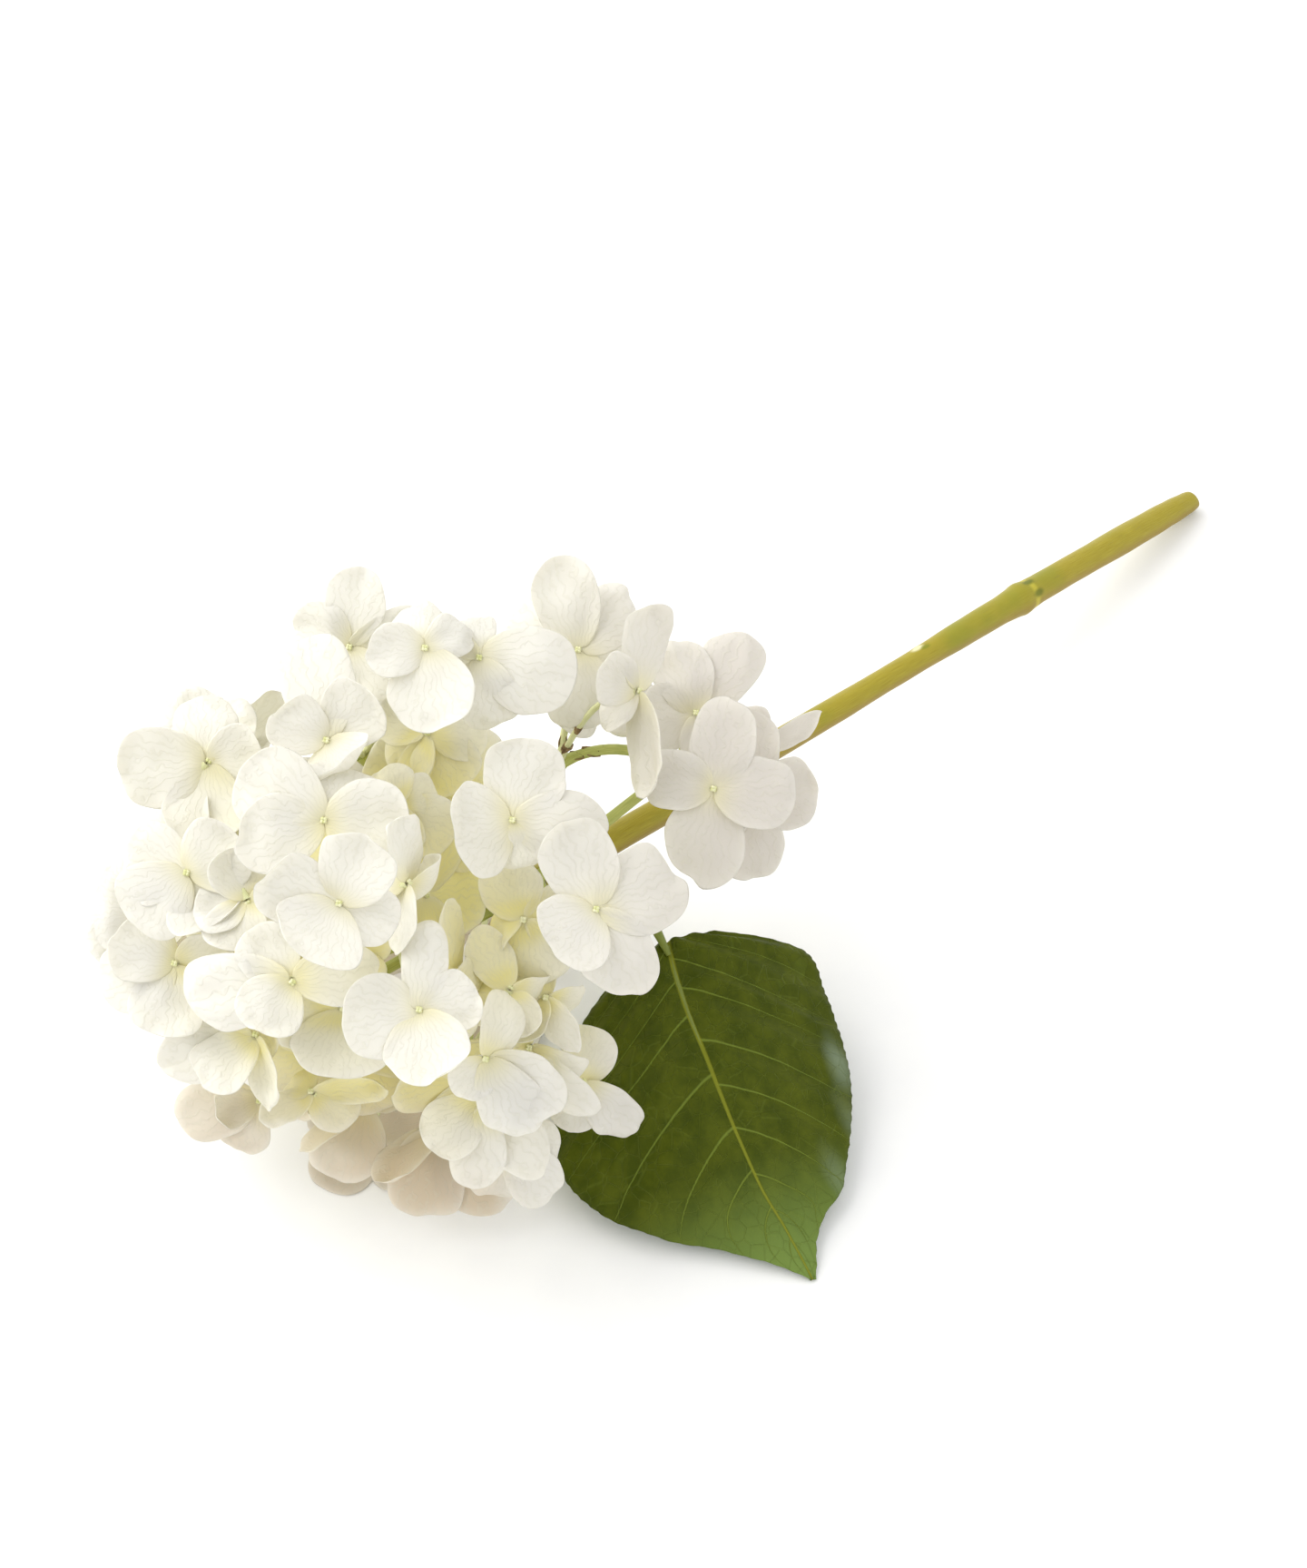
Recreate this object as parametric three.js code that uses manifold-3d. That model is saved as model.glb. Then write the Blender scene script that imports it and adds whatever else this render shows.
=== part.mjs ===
// A cut mophead hydrangea, laid down on a table: one woody green stem, one broad leaf and one
// loose, domed head of four-lobed florets. Millimetres, +Z up, the table at z = 0. +X runs along
// the stem from the flower head to the cut end, and the origin is under the middle of the flower.

import * as THREE from 'three';
import { mergeVertices } from 'three/addons/utils/BufferGeometryUtils.js';
import Module from 'manifold-3d';

const wasm = await Module();
wasm.setup();

// ---- driving dimensions, in millimetres and degrees ----

const HEAD_CENTRE = new THREE.Vector3(-113.7, 22.9, 62);
const FACE_TURN = -45;           // the bloom's best side looks this way round the vertical
const FACE_RISE = 50;            // and this far above the table

const STEM_AXIS = [              // centre line, from the head's centre, head to cut end
  [36, -9.6, -5.4],
  [66, -10.4, -10.6],
  [135, -11.8, -23.2],
  [215, -10.8, -40.0],
  [297, -9.6, -59.5],
];
const STEM_NODE = 0.69;          // how far along the stem its swollen node lies, 0 to 1
const STEM_PROFILE = [           // share of the stem's length and its radius there
  [0, 4.2], [0.03, 3.8], [0.12, 3.7], [0.3, 3.6], [0.4, 3.5], [0.48, 3.25], [0.53, 3.3],
  [0.6, 3.7], [0.655, 3.85], [0.68, 4.15], [0.69, 4.35], [0.705, 4.15], [0.72, 3.98], [0.8, 3.85],
  [0.86, 4.0], [0.92, 3.8], [0.955, 3.55], [0.98, 3.15], [0.994, 2.75], [1, 2.2],
];
const STEM_SIDES = 14;
const CUT_SLANT = 16;            // the secateurs' cut, off square

const CLEARANCE = 0.35;          // between pieces that touch on the plant

const PETAL = 0.8;               // thickness of a sepal
const SEPAL_CENTRE = 0.58;       // a sepal is a disc whose middle lies this far along it
const SEPAL_RADIUS = 0.42;       // and which reaches this far on to its tip
const NOTCH = 3;                 // how far out two sepals part at the least
const PEDICEL_RADIUS = 0.8;
const RAY_RADIUS = 1.5;
const KNOT_RADIUS = 2.8;         // where a ray forks into pedicels

// The rays of the head fork off the top of the stem. Each fork is placed about the bloom's face:
// across, up and out from the head's centre.
const FORKS = [
  [66, 39, -12],
  [38, 40, -10],
  [15, 45, -2],
  [-8, 42, 8],
  [-33, 27, 5],
  [-37, 4, 8],
  [-1, 8, 18],
  [-24, -21, -2],
  [3, -34, -6],
  [26, -21, 2],
  [33, 9, 15],
  [0, 38, -34],
  [-36, 20, -28],
  [-20, -12, -40],
  [14, -28, -34],
];

// Florets of the good side, sepal by sepal: the middle of the floret, then for each sepal where its
// tip is from there, both across, up and out; the sepal's width; and how far it is rolled edge on.
const BLOOMS = [
  [[48, 7, 54], [-7, 21, 4, 18, 0], [19, 7, -6, 21, 0], [9, -20, -6, 18, 0], [-10, -10, 2, 20, 0]],
  [[29, 27, 50], [5, 19, 3, 20, 0], [21, -3, -4, 17, 0], [1, -12, -2, 15, 0], [-13, -4, 8, 23, 0]],
  [[31, 4, 37], [-5, 13, 2, 15, 0], [11, 0, -8, 16, 0], [6, -16, -3, 16, 0], [-9, -6, -6, 12, 50]],
  [[75, 34, 14], [4, 20, 2, 16, 0], [20, -2, -2, 18, 0], [-4, -22, -3, 20, 0], [-16, 4, 0, 15, 0]],
  [[85, 32, -3], [16, 1, -2, 18, 0], [-1, -20, -4, 16, 0], [-1, 22, -4, 14, 0], [-13, -6, -2, 14, 0]],
  [[71, 52, 0], [14, 20, -6, 15, 0], [-5, 17, -4, 15, 0], [-13, -2, 2, 17, 0], [6, -13, 2, 15, 0]],
  [[57, 57, 17], [5, 21, 0, 15, 45], [-10, 5, 6, 13, 0], [2, -26, 0, 17, 62], [-9, -8, -4, 10, 30]],
  [[43, 67, 8], [-5, 22, 2, 16, 0], [12, 14, -4, 16, 0], [1, -19, -6, 17, 0], [-18, 9, -8, 14, 0]],
  [[21, 64, 40], [21, -5, -2, 21, 0], [4, -16, -6, 15, 0], [-12, 1, 4, 14, 0], [-5, 9, -10, 14, 20]],
  [[9, 66, 46], [3, -19, 5, 21, 0], [-13, -1, 2, 13, 0], [-4, 11, -8, 13, 0], [10, 5, -6, 11, 0]],
  [[-13, 45, 49], [11, 11, 4, 17, 0], [-12, 6, 2, 14, 0], [4, -7, 8, 19, 0], [-4, 24, -6, 18, 0]],
  [[-10, 67, 24], [3, 19, 0, 15, 0], [-13, 5, 0, 17, 0], [19, 7, -6, 12, 40], [3, -16, 2, 17, 0]],
  [[-43, 40, 26], [-1, 16, -6, 15, 0], [-20, -2, 2, 19, 0], [13, 3, 2, 15, 0], [-1, -20, 8, 20, 0]],
  [[-45, 15, 47], [-15, 4, -3, 20, 0], [13, 8, 2, 19, 0], [8, -12, 4, 20, 0], [-14, -12, -4, 19, 0]],
  [[-8, 9, 76], [-17, 5, 4, 16, 0], [8, 15, 5, 18, 0], [12, -5, -2, 14, 0], [-8, -12, 7, 22, 0]],
  [[-13, 27, 57], [-19, -5, 2, 18, 0], [-20, 11, -2, 20, 0], [3, 13, -6, 20, 0], [19, 0, 0, 20, 0]],
  [[9, -15, 68], [-17, -2, 2, 20, 0], [4, -16, 6, 20, 0], [14, 3, -3, 14, 0], [2, 21, -8, 11, 0]],
  [[23, -27, 50], [16, -13, -4, 17, 0], [10, -19, -10, 15, 0], [-6, -9, 0, 11, 0], [5, 15, -6, 12, 30]],
  [[21, -38, 34], [-12, -11, 2, 15, 0], [-1, -21, -6, 14, 0], [15, -17, -3, 15, 0], [3, 11, 2, 12, 0]],
  [[9, -47, 0], [-4, -22, -3, 19, 0], [-13, -14, 5, 13, 45], [17, -22, -8, 20, 0], [4, 13, 0, 12, 0]],
  [[-9, -41, 0], [-6, -19, -3, 18, 0], [-12, -5, 8, 9, 55], [-14, -12, 2, 10, 55], [9, 5, 0, 12, 0]],
  [[-34, -41, -4], [-21, -4, -2, 16, 0], [-11, -3, 6, 10, 0], [-7, -13, -6, 14, 0], [14, -1, 4, 9, 30]],
  [[-49, -6, 36], [-17, -6, -3, 18, 0], [-3, -17, 0, 18, 0], [15, 1, 4, 15, 30], [-14, 6, 0, 16, 0]],
  [[-58, 6, 27], [-12, -1, -2, 18, 0], [-9, -14, -4, 16, 0], [-4, 15, -4, 16, 0], [11, -7, 6, 16, 0]],
  [[-31, -23, 34], [-23, -7, -4, 14, 0], [-12, -11, 2, 15, 20], [5, -18, 3, 11, 50], [-18, 0, -6, 14, 20]],
  [[28, -12, 40], [-8, 15, 0, 11, 20], [4, -11, 2, 11, 0], [8, -2, -8, 12, 30], [-9, -5, -8, 12, 30]],
  [[-10, -16, 44], [0, -15, 4, 24, 0], [-13, -9, 0, 17, 0], [14, -8, 0, 16, 0], [4, 14, -6, 15, 0]],
  [[36, -14, 34], [7, -13, 0, 9, 30], [-6, -11, 0, 10, 30], [8, -3, -10, 12, 30], [-5, 8, -6, 10, 30]],
  [[-20, -9, 58], [-26, -4, -8, 18, 0], [20, 3, -4, 15, 0], [-10, 11, -2, 14, 0], [-9, -11, 2, 16, 0]],
  [[3, 30, 40], [9, 2, -3, 14, 0], [-6, 8, -4, 15, 0], [12, -8, -4, 15, 0], [-2, -11, -2, 14, 0]],
  [[8, 47, 24], [5, -15, -2, 21, 0], [14, 2, -8, 17, 0], [-11, 8, 0, 16, 0], [-7, -9, -4, 15, 20]],
  [[32, -26, 28], [15, -18, -8, 12, 30], [12, -8, -8, 12, 30], [-3, -12, -4, 10, 30], [-5, 5, 0, 10, 30]],
  [[44, -36, 6], [13, -14, -8, 12, 0], [2, 14, -6, 15, 20], [-3, -13, -4, 12, 0], [-9, 2, -4, 12, 0]],
  [[15, -12, 42], [0, 22, 0, 10, 55], [-6, 8, -6, 10, 20], [6, 6, -6, 10, 40], [1, -12, 0, 12, 20]],
  [[87, 43, -14], [15, 9, 0, 15, 62], [5, -12, -6, 12, 30], [-8, -4, -6, 12, 0], [-5, 11, -8, 12, 0]],
  [[6, 13, 62], [1, 16, 0, 16, 64], [-2, -16, 0, 16, 62], [4, 2, -12, 14, 60], [-7, 2, -10, 12, 0]],
  [[27, -50, 12], [10, -14, -6, 14, 0], [-7, -13, -6, 15, 0], [12, -1, -4, 14, 0], [-5, 11, 2, 14, 0]],
  [[-19, -37, 20], [-12, -6, 2, 9, 30], [18, 2, 2, 9, 30], [-4, 4, -6, 12, 0], [9, -7, -4, 12, 0]],
  [[-31, 9, 50], [-4, 12, 0, 15, 20], [-3, -12, 2, 16, 20], [-12, -2, 0, 15, 30], [11, -4, -6, 15, 0]],
];

// Florets between and behind them: across, up and out; how far the floret leans off facing
// outward and toward which side; its turn; its size from centre to sepal tip.
const FILLERS = [
  [46, 62, -12, 30, 20, 50, 19],
  [7, 9, 14, 50, 0, 0, 20],
  [-46, 46, 8, 30, 100, 15, 14],
  [9, 32, 8, 20, 0, -45, 20],
  [-28, 18, 28, 30, 150, 10, 22],
  [-52, 24, 16, 55, 160, 0, 17],
  [-36, -10, 24, 45, -160, 30, 21],
  [-16, -4, 32, 30, -120, 45, 21],
  [-14, -28, 14, 45, -100, 20, 21],
  [18, -34, 14, 50, -75, 0, 20],
];
const FILLER_CUP = 2;

// Florets under the head, pressed flat by its weight: x and y from the head's centre, turn, size.
const PRESSED = [
  [-19, -6, 0, 18],
  [-8, 24, 40, 21],
  [24, 2, 75, 19],
];

// Florets of the hidden side, which all face straight away from the head's centre: across, up and
// out; turn; size.
const BACK = [
  [-3, 61, -20, 10, 22],
  [-44, 40, -25, 40, 21],
  [-63, -1, -13, 70, 22],
  [2, 41, -50, 20, 23],
  [-35, 16, -51, 55, 21],
  [22, 8, -59, 30, 22],
  [-17, 27, -53, 0, 20],
  [-5, 3, -62, 65, 21],
  [-47, -17, -37, 25, 22],
];
const BACK_CUP = 3;

// The leaf, by stations along it from the petiole to the tip: distance along; then the sideways
// place and height of the midrib, of the edge on the stem's side and of the edge under the head.
const LEAF_BASE = new THREE.Vector2(60.9, -30.0);     // from the head's centre
const LEAF_HEADING = 248.4;                           // of the midrib, anticlockwise from +X
const LEAF_THICKNESS = 0.9;
const LEAF_STATIONS = [
  [0, 0, 30, 13, 27, -10, 27],
  [4, -0.8, 29.8, 26, 22, -19, 23],
  [9, -1.8, 29, 34.5, 17.5, -27, 19.5],
  [20, -3.2, 27.4, 34.6, 14.6, -37, 14.5],
  [33, -3.8, 24.6, 33, 12.6, -44.4, 10],
  [43, -4.2, 21.4, 30.8, 10.6, -45.2, 7.4],
  [54, -4.2, 17, 26.2, 8.6, -40.6, 5.8],
  [66, -3.4, 11, 19, 6.6, -29.2, 4.6],
  [71, -2.5, 8.6, 15.4, 5.4, -21.8, 4],
  [75, -1.8, 7, 9.2, 4.6, -15.9, 3.5],
  [80, -1.1, 4.8, 4.8, 3.4, -9.6, 3],
  [85, -0.4, 2.4, 2.4, 1.8, -3.6, 2],
  [88.4, 0, 0.9, 0.5, 0.9, -0.5, 0.9],
];
const LEAF_ROWS = 26;
const LEAF_COLUMNS = 5;          // on each side of the midrib
const TOOTH = 0.7;               // depth of the leaf's teeth
const PETIOLE_RADIUS = 1.5;
const PETIOLE = [                // from the head's centre: out of the stem, down, into the blade
  [58.6, -12.2, -12.4],
  [59.0, -19.5, -21.0],
  [59.8, -25.5, -27.5],
  [58.0, -33.5, -32.4],
];

// ---- helpers ----

const radians = THREE.MathUtils.degToRad;
const vector = (x, y, z) => new THREE.Vector3(x, y, z);
const fromHead = ([x, y, z]) => HEAD_CENTRE.clone().add(vector(x, y, z));

const ACROSS = vector(Math.cos(radians(FACE_TURN)), Math.sin(radians(FACE_TURN)), 0);
const OUT = vector(Math.sin(radians(FACE_TURN)), -Math.cos(radians(FACE_TURN)), 0)
  .multiplyScalar(Math.cos(radians(FACE_RISE)))
  .add(vector(0, 0, Math.sin(radians(FACE_RISE))));
const UP = OUT.clone().cross(ACROSS);

/** A direction given about the bloom's face, as a direction in the flower's own frame. */
function faceDirection(across, up, out) {
  return ACROSS.clone().multiplyScalar(across).addScaledVector(UP, up).addScaledVector(OUT, out);
}

const facePoint = (across, up, out) => faceDirection(across, up, out).add(HEAD_CENTRE);

/** A closed geometry as a solid that can be joined and cut. */
function solid(geometry) {
  const bare = geometry.index ? geometry.clone() : geometry;
  bare.deleteAttribute('normal');
  bare.deleteAttribute('uv');
  const merged = mergeVertices(bare, 1e-4);
  const corners = [];
  for (let i = 0; i < merged.index.count; i += 3) {
    const [a, b, c] = [0, 1, 2].map((k) => merged.index.getX(i + k));
    if (a !== b && b !== c && c !== a) corners.push(a, b, c);
  }
  return new wasm.Manifold(new wasm.Mesh({
    numProp: 3,
    vertProperties: new Float32Array(merged.attributes.position.array),
    triVerts: Uint32Array.from(corners),
  }));
}

/** A joined or cut solid back as a geometry. */
function geometryOf(body) {
  const mesh = body.getMesh();
  const geometry = new THREE.BufferGeometry();
  geometry.setAttribute('position', new THREE.BufferAttribute(mesh.vertProperties, 3));
  geometry.setIndex(new THREE.BufferAttribute(mesh.triVerts, 1));
  geometry.computeVertexNormals();
  return geometry;
}

/** The solids joined two by two, so that no join is a large one until the last. */
function joined(bodies) {
  let level = bodies;
  while (level.length > 1) {
    const next = [];
    for (let i = 0; i < level.length; i += 2) {
      next.push(i + 1 < level.length ? level[i].add(level[i + 1]) : level[i]);
    }
    level = next;
  }
  return level[0];
}

/** The largest body of a solid that a cut may have left in several. */
function largest(body) {
  const bodies = body.decompose();
  return bodies.reduce((best, one) => (one.volume() > best.volume() ? one : best));
}

/**
 * A thin sheet as a solid: matching upper and lower points, split into triangles alike, and a
 * rim of corner numbers that runs anticlockwise as seen from above.
 */
function sheet(upper, lower, triangles, rim) {
  const under = upper.length;
  const faces = [];
  for (const [a, b, c] of triangles) faces.push(a, b, c, under + a, under + c, under + b);
  rim.forEach((from, i) => {
    const to = rim[(i + 1) % rim.length];
    faces.push(from, under + to, to, from, under + from, under + to);
  });
  const geometry = new THREE.BufferGeometry();
  geometry.setFromPoints([...upper, ...lower]);
  geometry.setIndex(faces);
  return solid(geometry);
}

/** A round-sided rod along a curve. */
function rod(curve, radius, sides, steps) {
  const section = new THREE.Shape();
  for (let i = 0; i < sides; i += 1) {
    const angle = (2 * Math.PI * i) / sides;
    const point = [radius * Math.cos(angle), radius * Math.sin(angle)];
    if (i === 0) section.moveTo(...point);
    else section.lineTo(...point);
  }
  section.closePath();
  const options = { steps, extrudePath: curve, bevelEnabled: false };
  return solid(new THREE.ExtrudeGeometry(section, options));
}

// ---- stem ----

const stemCurve = new THREE.CatmullRomCurve3(STEM_AXIS.map(fromHead));
const stemTop = stemCurve.getPointAt(0);
const stemDirection = stemCurve.getTangentAt(0);

/** Stem radius at a share of its length. */
function stemRadius(share) {
  const i = Math.max(1, STEM_PROFILE.findIndex(([at]) => at >= share));
  const [from, to] = [STEM_PROFILE[i - 1], STEM_PROFILE[i]];
  return THREE.MathUtils.mapLinear(share, from[0], to[0], from[1], to[1]);
}

/** The stem as a turned bar, bent along its centre line, with room left round it if need be. */
function stemBar(extra) {
  const profile = STEM_PROFILE.map(([share, radius]) => new THREE.Vector2(radius + extra, share));
  profile.unshift(new THREE.Vector2(0, 0));
  profile.push(new THREE.Vector2(0, 1));
  const geometry = new THREE.LatheGeometry(profile, STEM_SIDES);
  const position = geometry.attributes.position;
  for (let i = 0; i < position.count; i += 1) {
    const share = position.getY(i);
    const tangent = stemCurve.getTangentAt(share);
    const side = vector(0, 1, 0).addScaledVector(tangent, -tangent.y).normalize();
    const lift = side.clone().cross(tangent);
    const point = stemCurve.getPointAt(share)
      .addScaledVector(tangent, share > 0 ? 0 : -extra)
      .addScaledVector(side, position.getX(i))
      .addScaledVector(lift, position.getZ(i));
    position.setXYZ(i, point.x, point.y, point.z);
  }
  return solid(geometry);
}

/** A low oval pad on the stem's side, where a leaf dropped off or a bud sleeps. */
function scar(share, angle, length, width, height) {
  const tangent = stemCurve.getTangentAt(share);
  const side = vector(0, 1, 0).addScaledVector(tangent, -tangent.y).normalize();
  const outward = side.applyAxisAngle(tangent, radians(angle));
  const geometry = new THREE.SphereGeometry(1, 10, 6);
  const basis = new THREE.Matrix4().makeBasis(
    tangent.clone().multiplyScalar(length),
    outward.clone().multiplyScalar(height),
    tangent.clone().cross(outward).multiplyScalar(width),
  );
  basis.setPosition(stemCurve.getPointAt(share).addScaledVector(outward, stemRadius(share) - 0.1));
  geometry.applyMatrix4(basis);
  return solid(geometry);
}

/** The bar trimmed by a slanting cut, with the scars of its fallen leaves. */
function stem() {
  const end = stemCurve.getPointAt(1);
  const cutter = new THREE.BoxGeometry(20, 40, 40);
  cutter.rotateY(radians(CUT_SLANT));
  cutter.translate(end.x + 8.6, end.y, end.z);
  const scars = [
    scar(STEM_NODE, 45, 2.8, 3.2, 0.5),
    scar(STEM_NODE, 225, 2.8, 3.2, 0.5),
    scar(STEM_NODE + 0.012, 76, 1.4, 1.1, 0.6),
    scar(STEM_NODE + 0.014, 138, 1.4, 1.1, 0.6),
    scar(0.53, 60, 1.5, 1.1, 0.5),
  ];
  return stemBar(0).add(joined(scars)).subtract(solid(cutter));
}

// ---- leaf ----

const heading = vector(Math.cos(radians(LEAF_HEADING)), Math.sin(radians(LEAF_HEADING)), 0);
const leafSide = vector(-heading.y, heading.x, 0);

/** A column of the station list, read smoothly at a distance along the leaf. */
function station(column, along) {
  const last = LEAF_STATIONS.length - 2;
  let i = 0;
  while (i < last && along > LEAF_STATIONS[i + 1][0]) i += 1;
  const at = (row) => LEAF_STATIONS[Math.min(Math.max(row, 0), last + 1)];
  const [from, to] = [at(i), at(i + 1)];
  const slope = (low, high) => (high[column] - low[column]) / Math.max(high[0] - low[0], 1e-6);
  const width = to[0] - from[0];
  const t = (along - from[0]) / width;
  const enter = slope(at(i - 1), to) * width;
  const leave = slope(from, at(i + 2)) * width;
  return (2 * t ** 3 - 3 * t ** 2 + 1) * from[column] + (t ** 3 - 2 * t ** 2 + t) * enter
    + (3 * t ** 2 - 2 * t ** 3) * to[column] + (t ** 3 - t ** 2) * leave;
}

/** A point of the blade's upper face: share along, and -1 to 1 across from edge to edge. */
function bladePoint(share, across, row) {
  const length = LEAF_STATIONS[LEAF_STATIONS.length - 1][0];
  const along = length * share ** 1.25;
  const [edge, edgeHeight] = across > 0 ? [3, 4] : [5, 6];
  const t = Math.abs(across);
  const tooth = t === 1 && row > 1 && row < LEAF_ROWS ? TOOTH * (row % 2 ? -0.5 : 0.5) : 0;
  const middle = station(1, along);
  const sideways = middle + (station(edge, along) - middle) * t + Math.sign(across) * tooth;
  const arch = t ** 1.7;
  const quilt = 0.5 * Math.sin(Math.PI * t) * Math.cos(share * 15 * Math.PI - t * 2.4);
  const crease = -0.9 * Math.exp(-((t / 0.12) ** 2)) * (1 - share);
  const height = station(2, along) * (1 - arch) + station(edgeHeight, along) * arch;
  return vector(HEAD_CENTRE.x + LEAF_BASE.x, HEAD_CENTRE.y + LEAF_BASE.y, 0)
    .addScaledVector(heading, along)
    .addScaledVector(leafSide, sideways)
    .setZ(Math.max(height + quilt + crease, LEAF_THICKNESS));
}

/** The blade, thicker by a margin each side where room is to be left for it. */
function blade(extra) {
  const columns = 2 * LEAF_COLUMNS + 1;
  const upper = [];
  for (let row = 0; row <= LEAF_ROWS; row += 1) {
    for (let column = 0; column < columns; column += 1) {
      upper.push(bladePoint(row / LEAF_ROWS, column / LEAF_COLUMNS - 1, row));
    }
  }
  const lower = upper.map((point) => point.clone().setZ(point.z - LEAF_THICKNESS - extra));
  upper.forEach((point) => point.setZ(point.z + extra));
  const corner = (row, column) => row * columns + column;
  const triangles = [];
  for (let row = 0; row < LEAF_ROWS; row += 1) {
    for (let column = 0; column < columns - 1; column += 1) {
      const a = corner(row, column);
      const b = corner(row, column + 1);
      const c = corner(row + 1, column + 1);
      const d = corner(row + 1, column);
      triangles.push([a, c, b], [a, d, c]);
    }
  }
  const rim = [];
  for (let row = 0; row < LEAF_ROWS; row += 1) rim.push(corner(row, 0));
  for (let column = 0; column < columns - 1; column += 1) rim.push(corner(LEAF_ROWS, column));
  for (let row = LEAF_ROWS; row > 0; row -= 1) rim.push(corner(row, columns - 1));
  for (let column = columns - 1; column > 0; column -= 1) rim.push(corner(0, column));
  return sheet(upper, lower, triangles, rim);
}

/** The petiole, which runs on under the blade as the midrib. */
function leafStalk(extra) {
  const petiole = new THREE.CatmullRomCurve3(PETIOLE.map(fromHead));
  const ribPoints = [0.05, 0.3, 0.6, 0.86].map((share) => {
    const point = bladePoint(share, 0, 0);
    return point.setZ(Math.max(point.z - 1.1, 0.7));
  });
  const midrib = new THREE.CatmullRomCurve3(ribPoints);
  return rod(petiole, PETIOLE_RADIUS + extra, 8, 8).add(rod(midrib, 0.7 + extra, 5, 14));
}

// ---- flower head ----

/** How far out the round outline of one sepal lies, at an angle off its own way. */
function sepalReach({ length, width }, off) {
  const [long, wide] = [SEPAL_RADIUS * length, width / 2];
  const middle = SEPAL_CENTRE * length;
  const a = (Math.cos(off) / long) ** 2 + (Math.sin(off) / wide) ** 2;
  const b = (middle * Math.cos(off)) / long ** 2;
  const c = (middle / long) ** 2 - 1;
  const root = b ** 2 - a * c;
  return Math.cos(off) > 0 && root > 0 ? (b + Math.sqrt(root)) / a : 0;
}

/** The axes of a floret: two in its own plane, turned, and the way it faces. */
function floretAxes(normal, turn, reference) {
  const swing = new THREE.Quaternion().setFromUnitVectors(reference.out, normal);
  swing.premultiply(new THREE.Quaternion().setFromAxisAngle(normal, radians(turn)));
  return [reference.across.clone().applyQuaternion(swing), reference.up.clone().applyQuaternion(swing)];
}

/** Four sepals alike, a quarter turn apart, as seen along the floret's own axes. */
function evenSepals(size, cup) {
  return [0, 1, 2, 3].map((i) => ({ angle: (i * Math.PI) / 2, length: size, width: size, lift: cup }));
}

/** A floret laid out sepal by sepal, which faces the way its four tips lie. */
function bloom([middle, ...tips]) {
  const ways = tips.map(([across, up, out]) => faceDirection(across, up, out));
  const round = (way, right, top) => Math.atan2(way.dot(top), way.dot(right));
  const inOrder = ways.toSorted((a, b) => round(a, ACROSS, UP) - round(b, ACROSS, UP));
  const normal = vector(0, 0, 0);
  inOrder.forEach((way, i) => normal.add(way.clone().cross(inOrder[(i + 1) % 4])));
  normal.normalize();
  const right = ACROSS.clone().addScaledVector(normal, -normal.dot(ACROSS)).normalize();
  const top = normal.clone().cross(right);
  const sepals = ways.map((way, i) => {
    const lift = way.dot(normal);
    const [, , , width, roll] = tips[i];
    return {
      angle: round(way, right, top),
      length: Math.sqrt(way.lengthSq() - lift ** 2),
      width: width * Math.cos(radians(roll)),
      lift,
    };
  });
  return { centre: facePoint(...middle), normal, axes: [right, top], sepals };
}

/** The corners of a floret's outline: for each sepal, the notch before it and four along it. */
function outline(sepals) {
  const ring = sepals.toSorted((a, b) => a.angle - b.angle);
  const gaps = ring.map((one, i) => (i < 3 ? ring[i + 1].angle : ring[0].angle + 2 * Math.PI) - one.angle);
  return ring.flatMap((one, i) => {
    const before = gaps[(i + 3) % 4] / 2;
    const after = gaps[i] / 2;
    const spread = Math.atan2(one.width / 2, SEPAL_CENTRE * one.length);
    const last = ring[(i + 3) % 4];
    const meet = Math.min(sepalReach(one, before), sepalReach(last, before));
    const notch = {
      angle: one.angle - before,
      reach: Math.max(meet, NOTCH),
      height: 0.15 * (one.lift + last.lift) / 2,
    };
    const along = [
      -Math.min(0.6 * before, 0.8 * spread), -Math.min(0.2 * before, 0.3 * spread),
      Math.min(0.2 * after, 0.3 * spread), Math.min(0.6 * after, 0.8 * spread),
    ];
    const edge = along.map((off) => {
      const reach = Math.max(sepalReach(one, off), NOTCH);
      return { angle: one.angle + off, reach, height: one.lift * (reach / one.length) ** 2 };
    });
    return [notch, ...edge];
  });
}

/** One floret: a middle between its four notches and a sepal beyond each side of it. */
function floret({ centre, axes, normal, sepals }) {
  const thickness = normal.clone().setLength(PETAL);
  const upper = outline(sepals).map(({ angle, reach, height }) => {
    const point = centre.clone()
      .addScaledVector(axes[0], reach * Math.cos(angle))
      .addScaledVector(axes[1], reach * Math.sin(angle))
      .addScaledVector(normal, height);
    point.z = Math.max(point.z, PETAL / 2);
    return point.addScaledVector(thickness, 0.5);
  });
  const lower = upper.map((point) => point.clone().sub(thickness));
  const rim = upper.map((_, i) => i);
  const triangles = [[0, 5, 10], [0, 10, 15]];
  for (let first = 0; first < 20; first += 5) {
    const [a, b, c, d, e, f] = [0, 1, 2, 3, 4, 5].map((i) => (first + i) % 20);
    triangles.push([a, b, e], [a, e, f], [b, c, d], [b, d, e]);
  }
  return sheet(upper, lower, triangles, rim);
}

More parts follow.
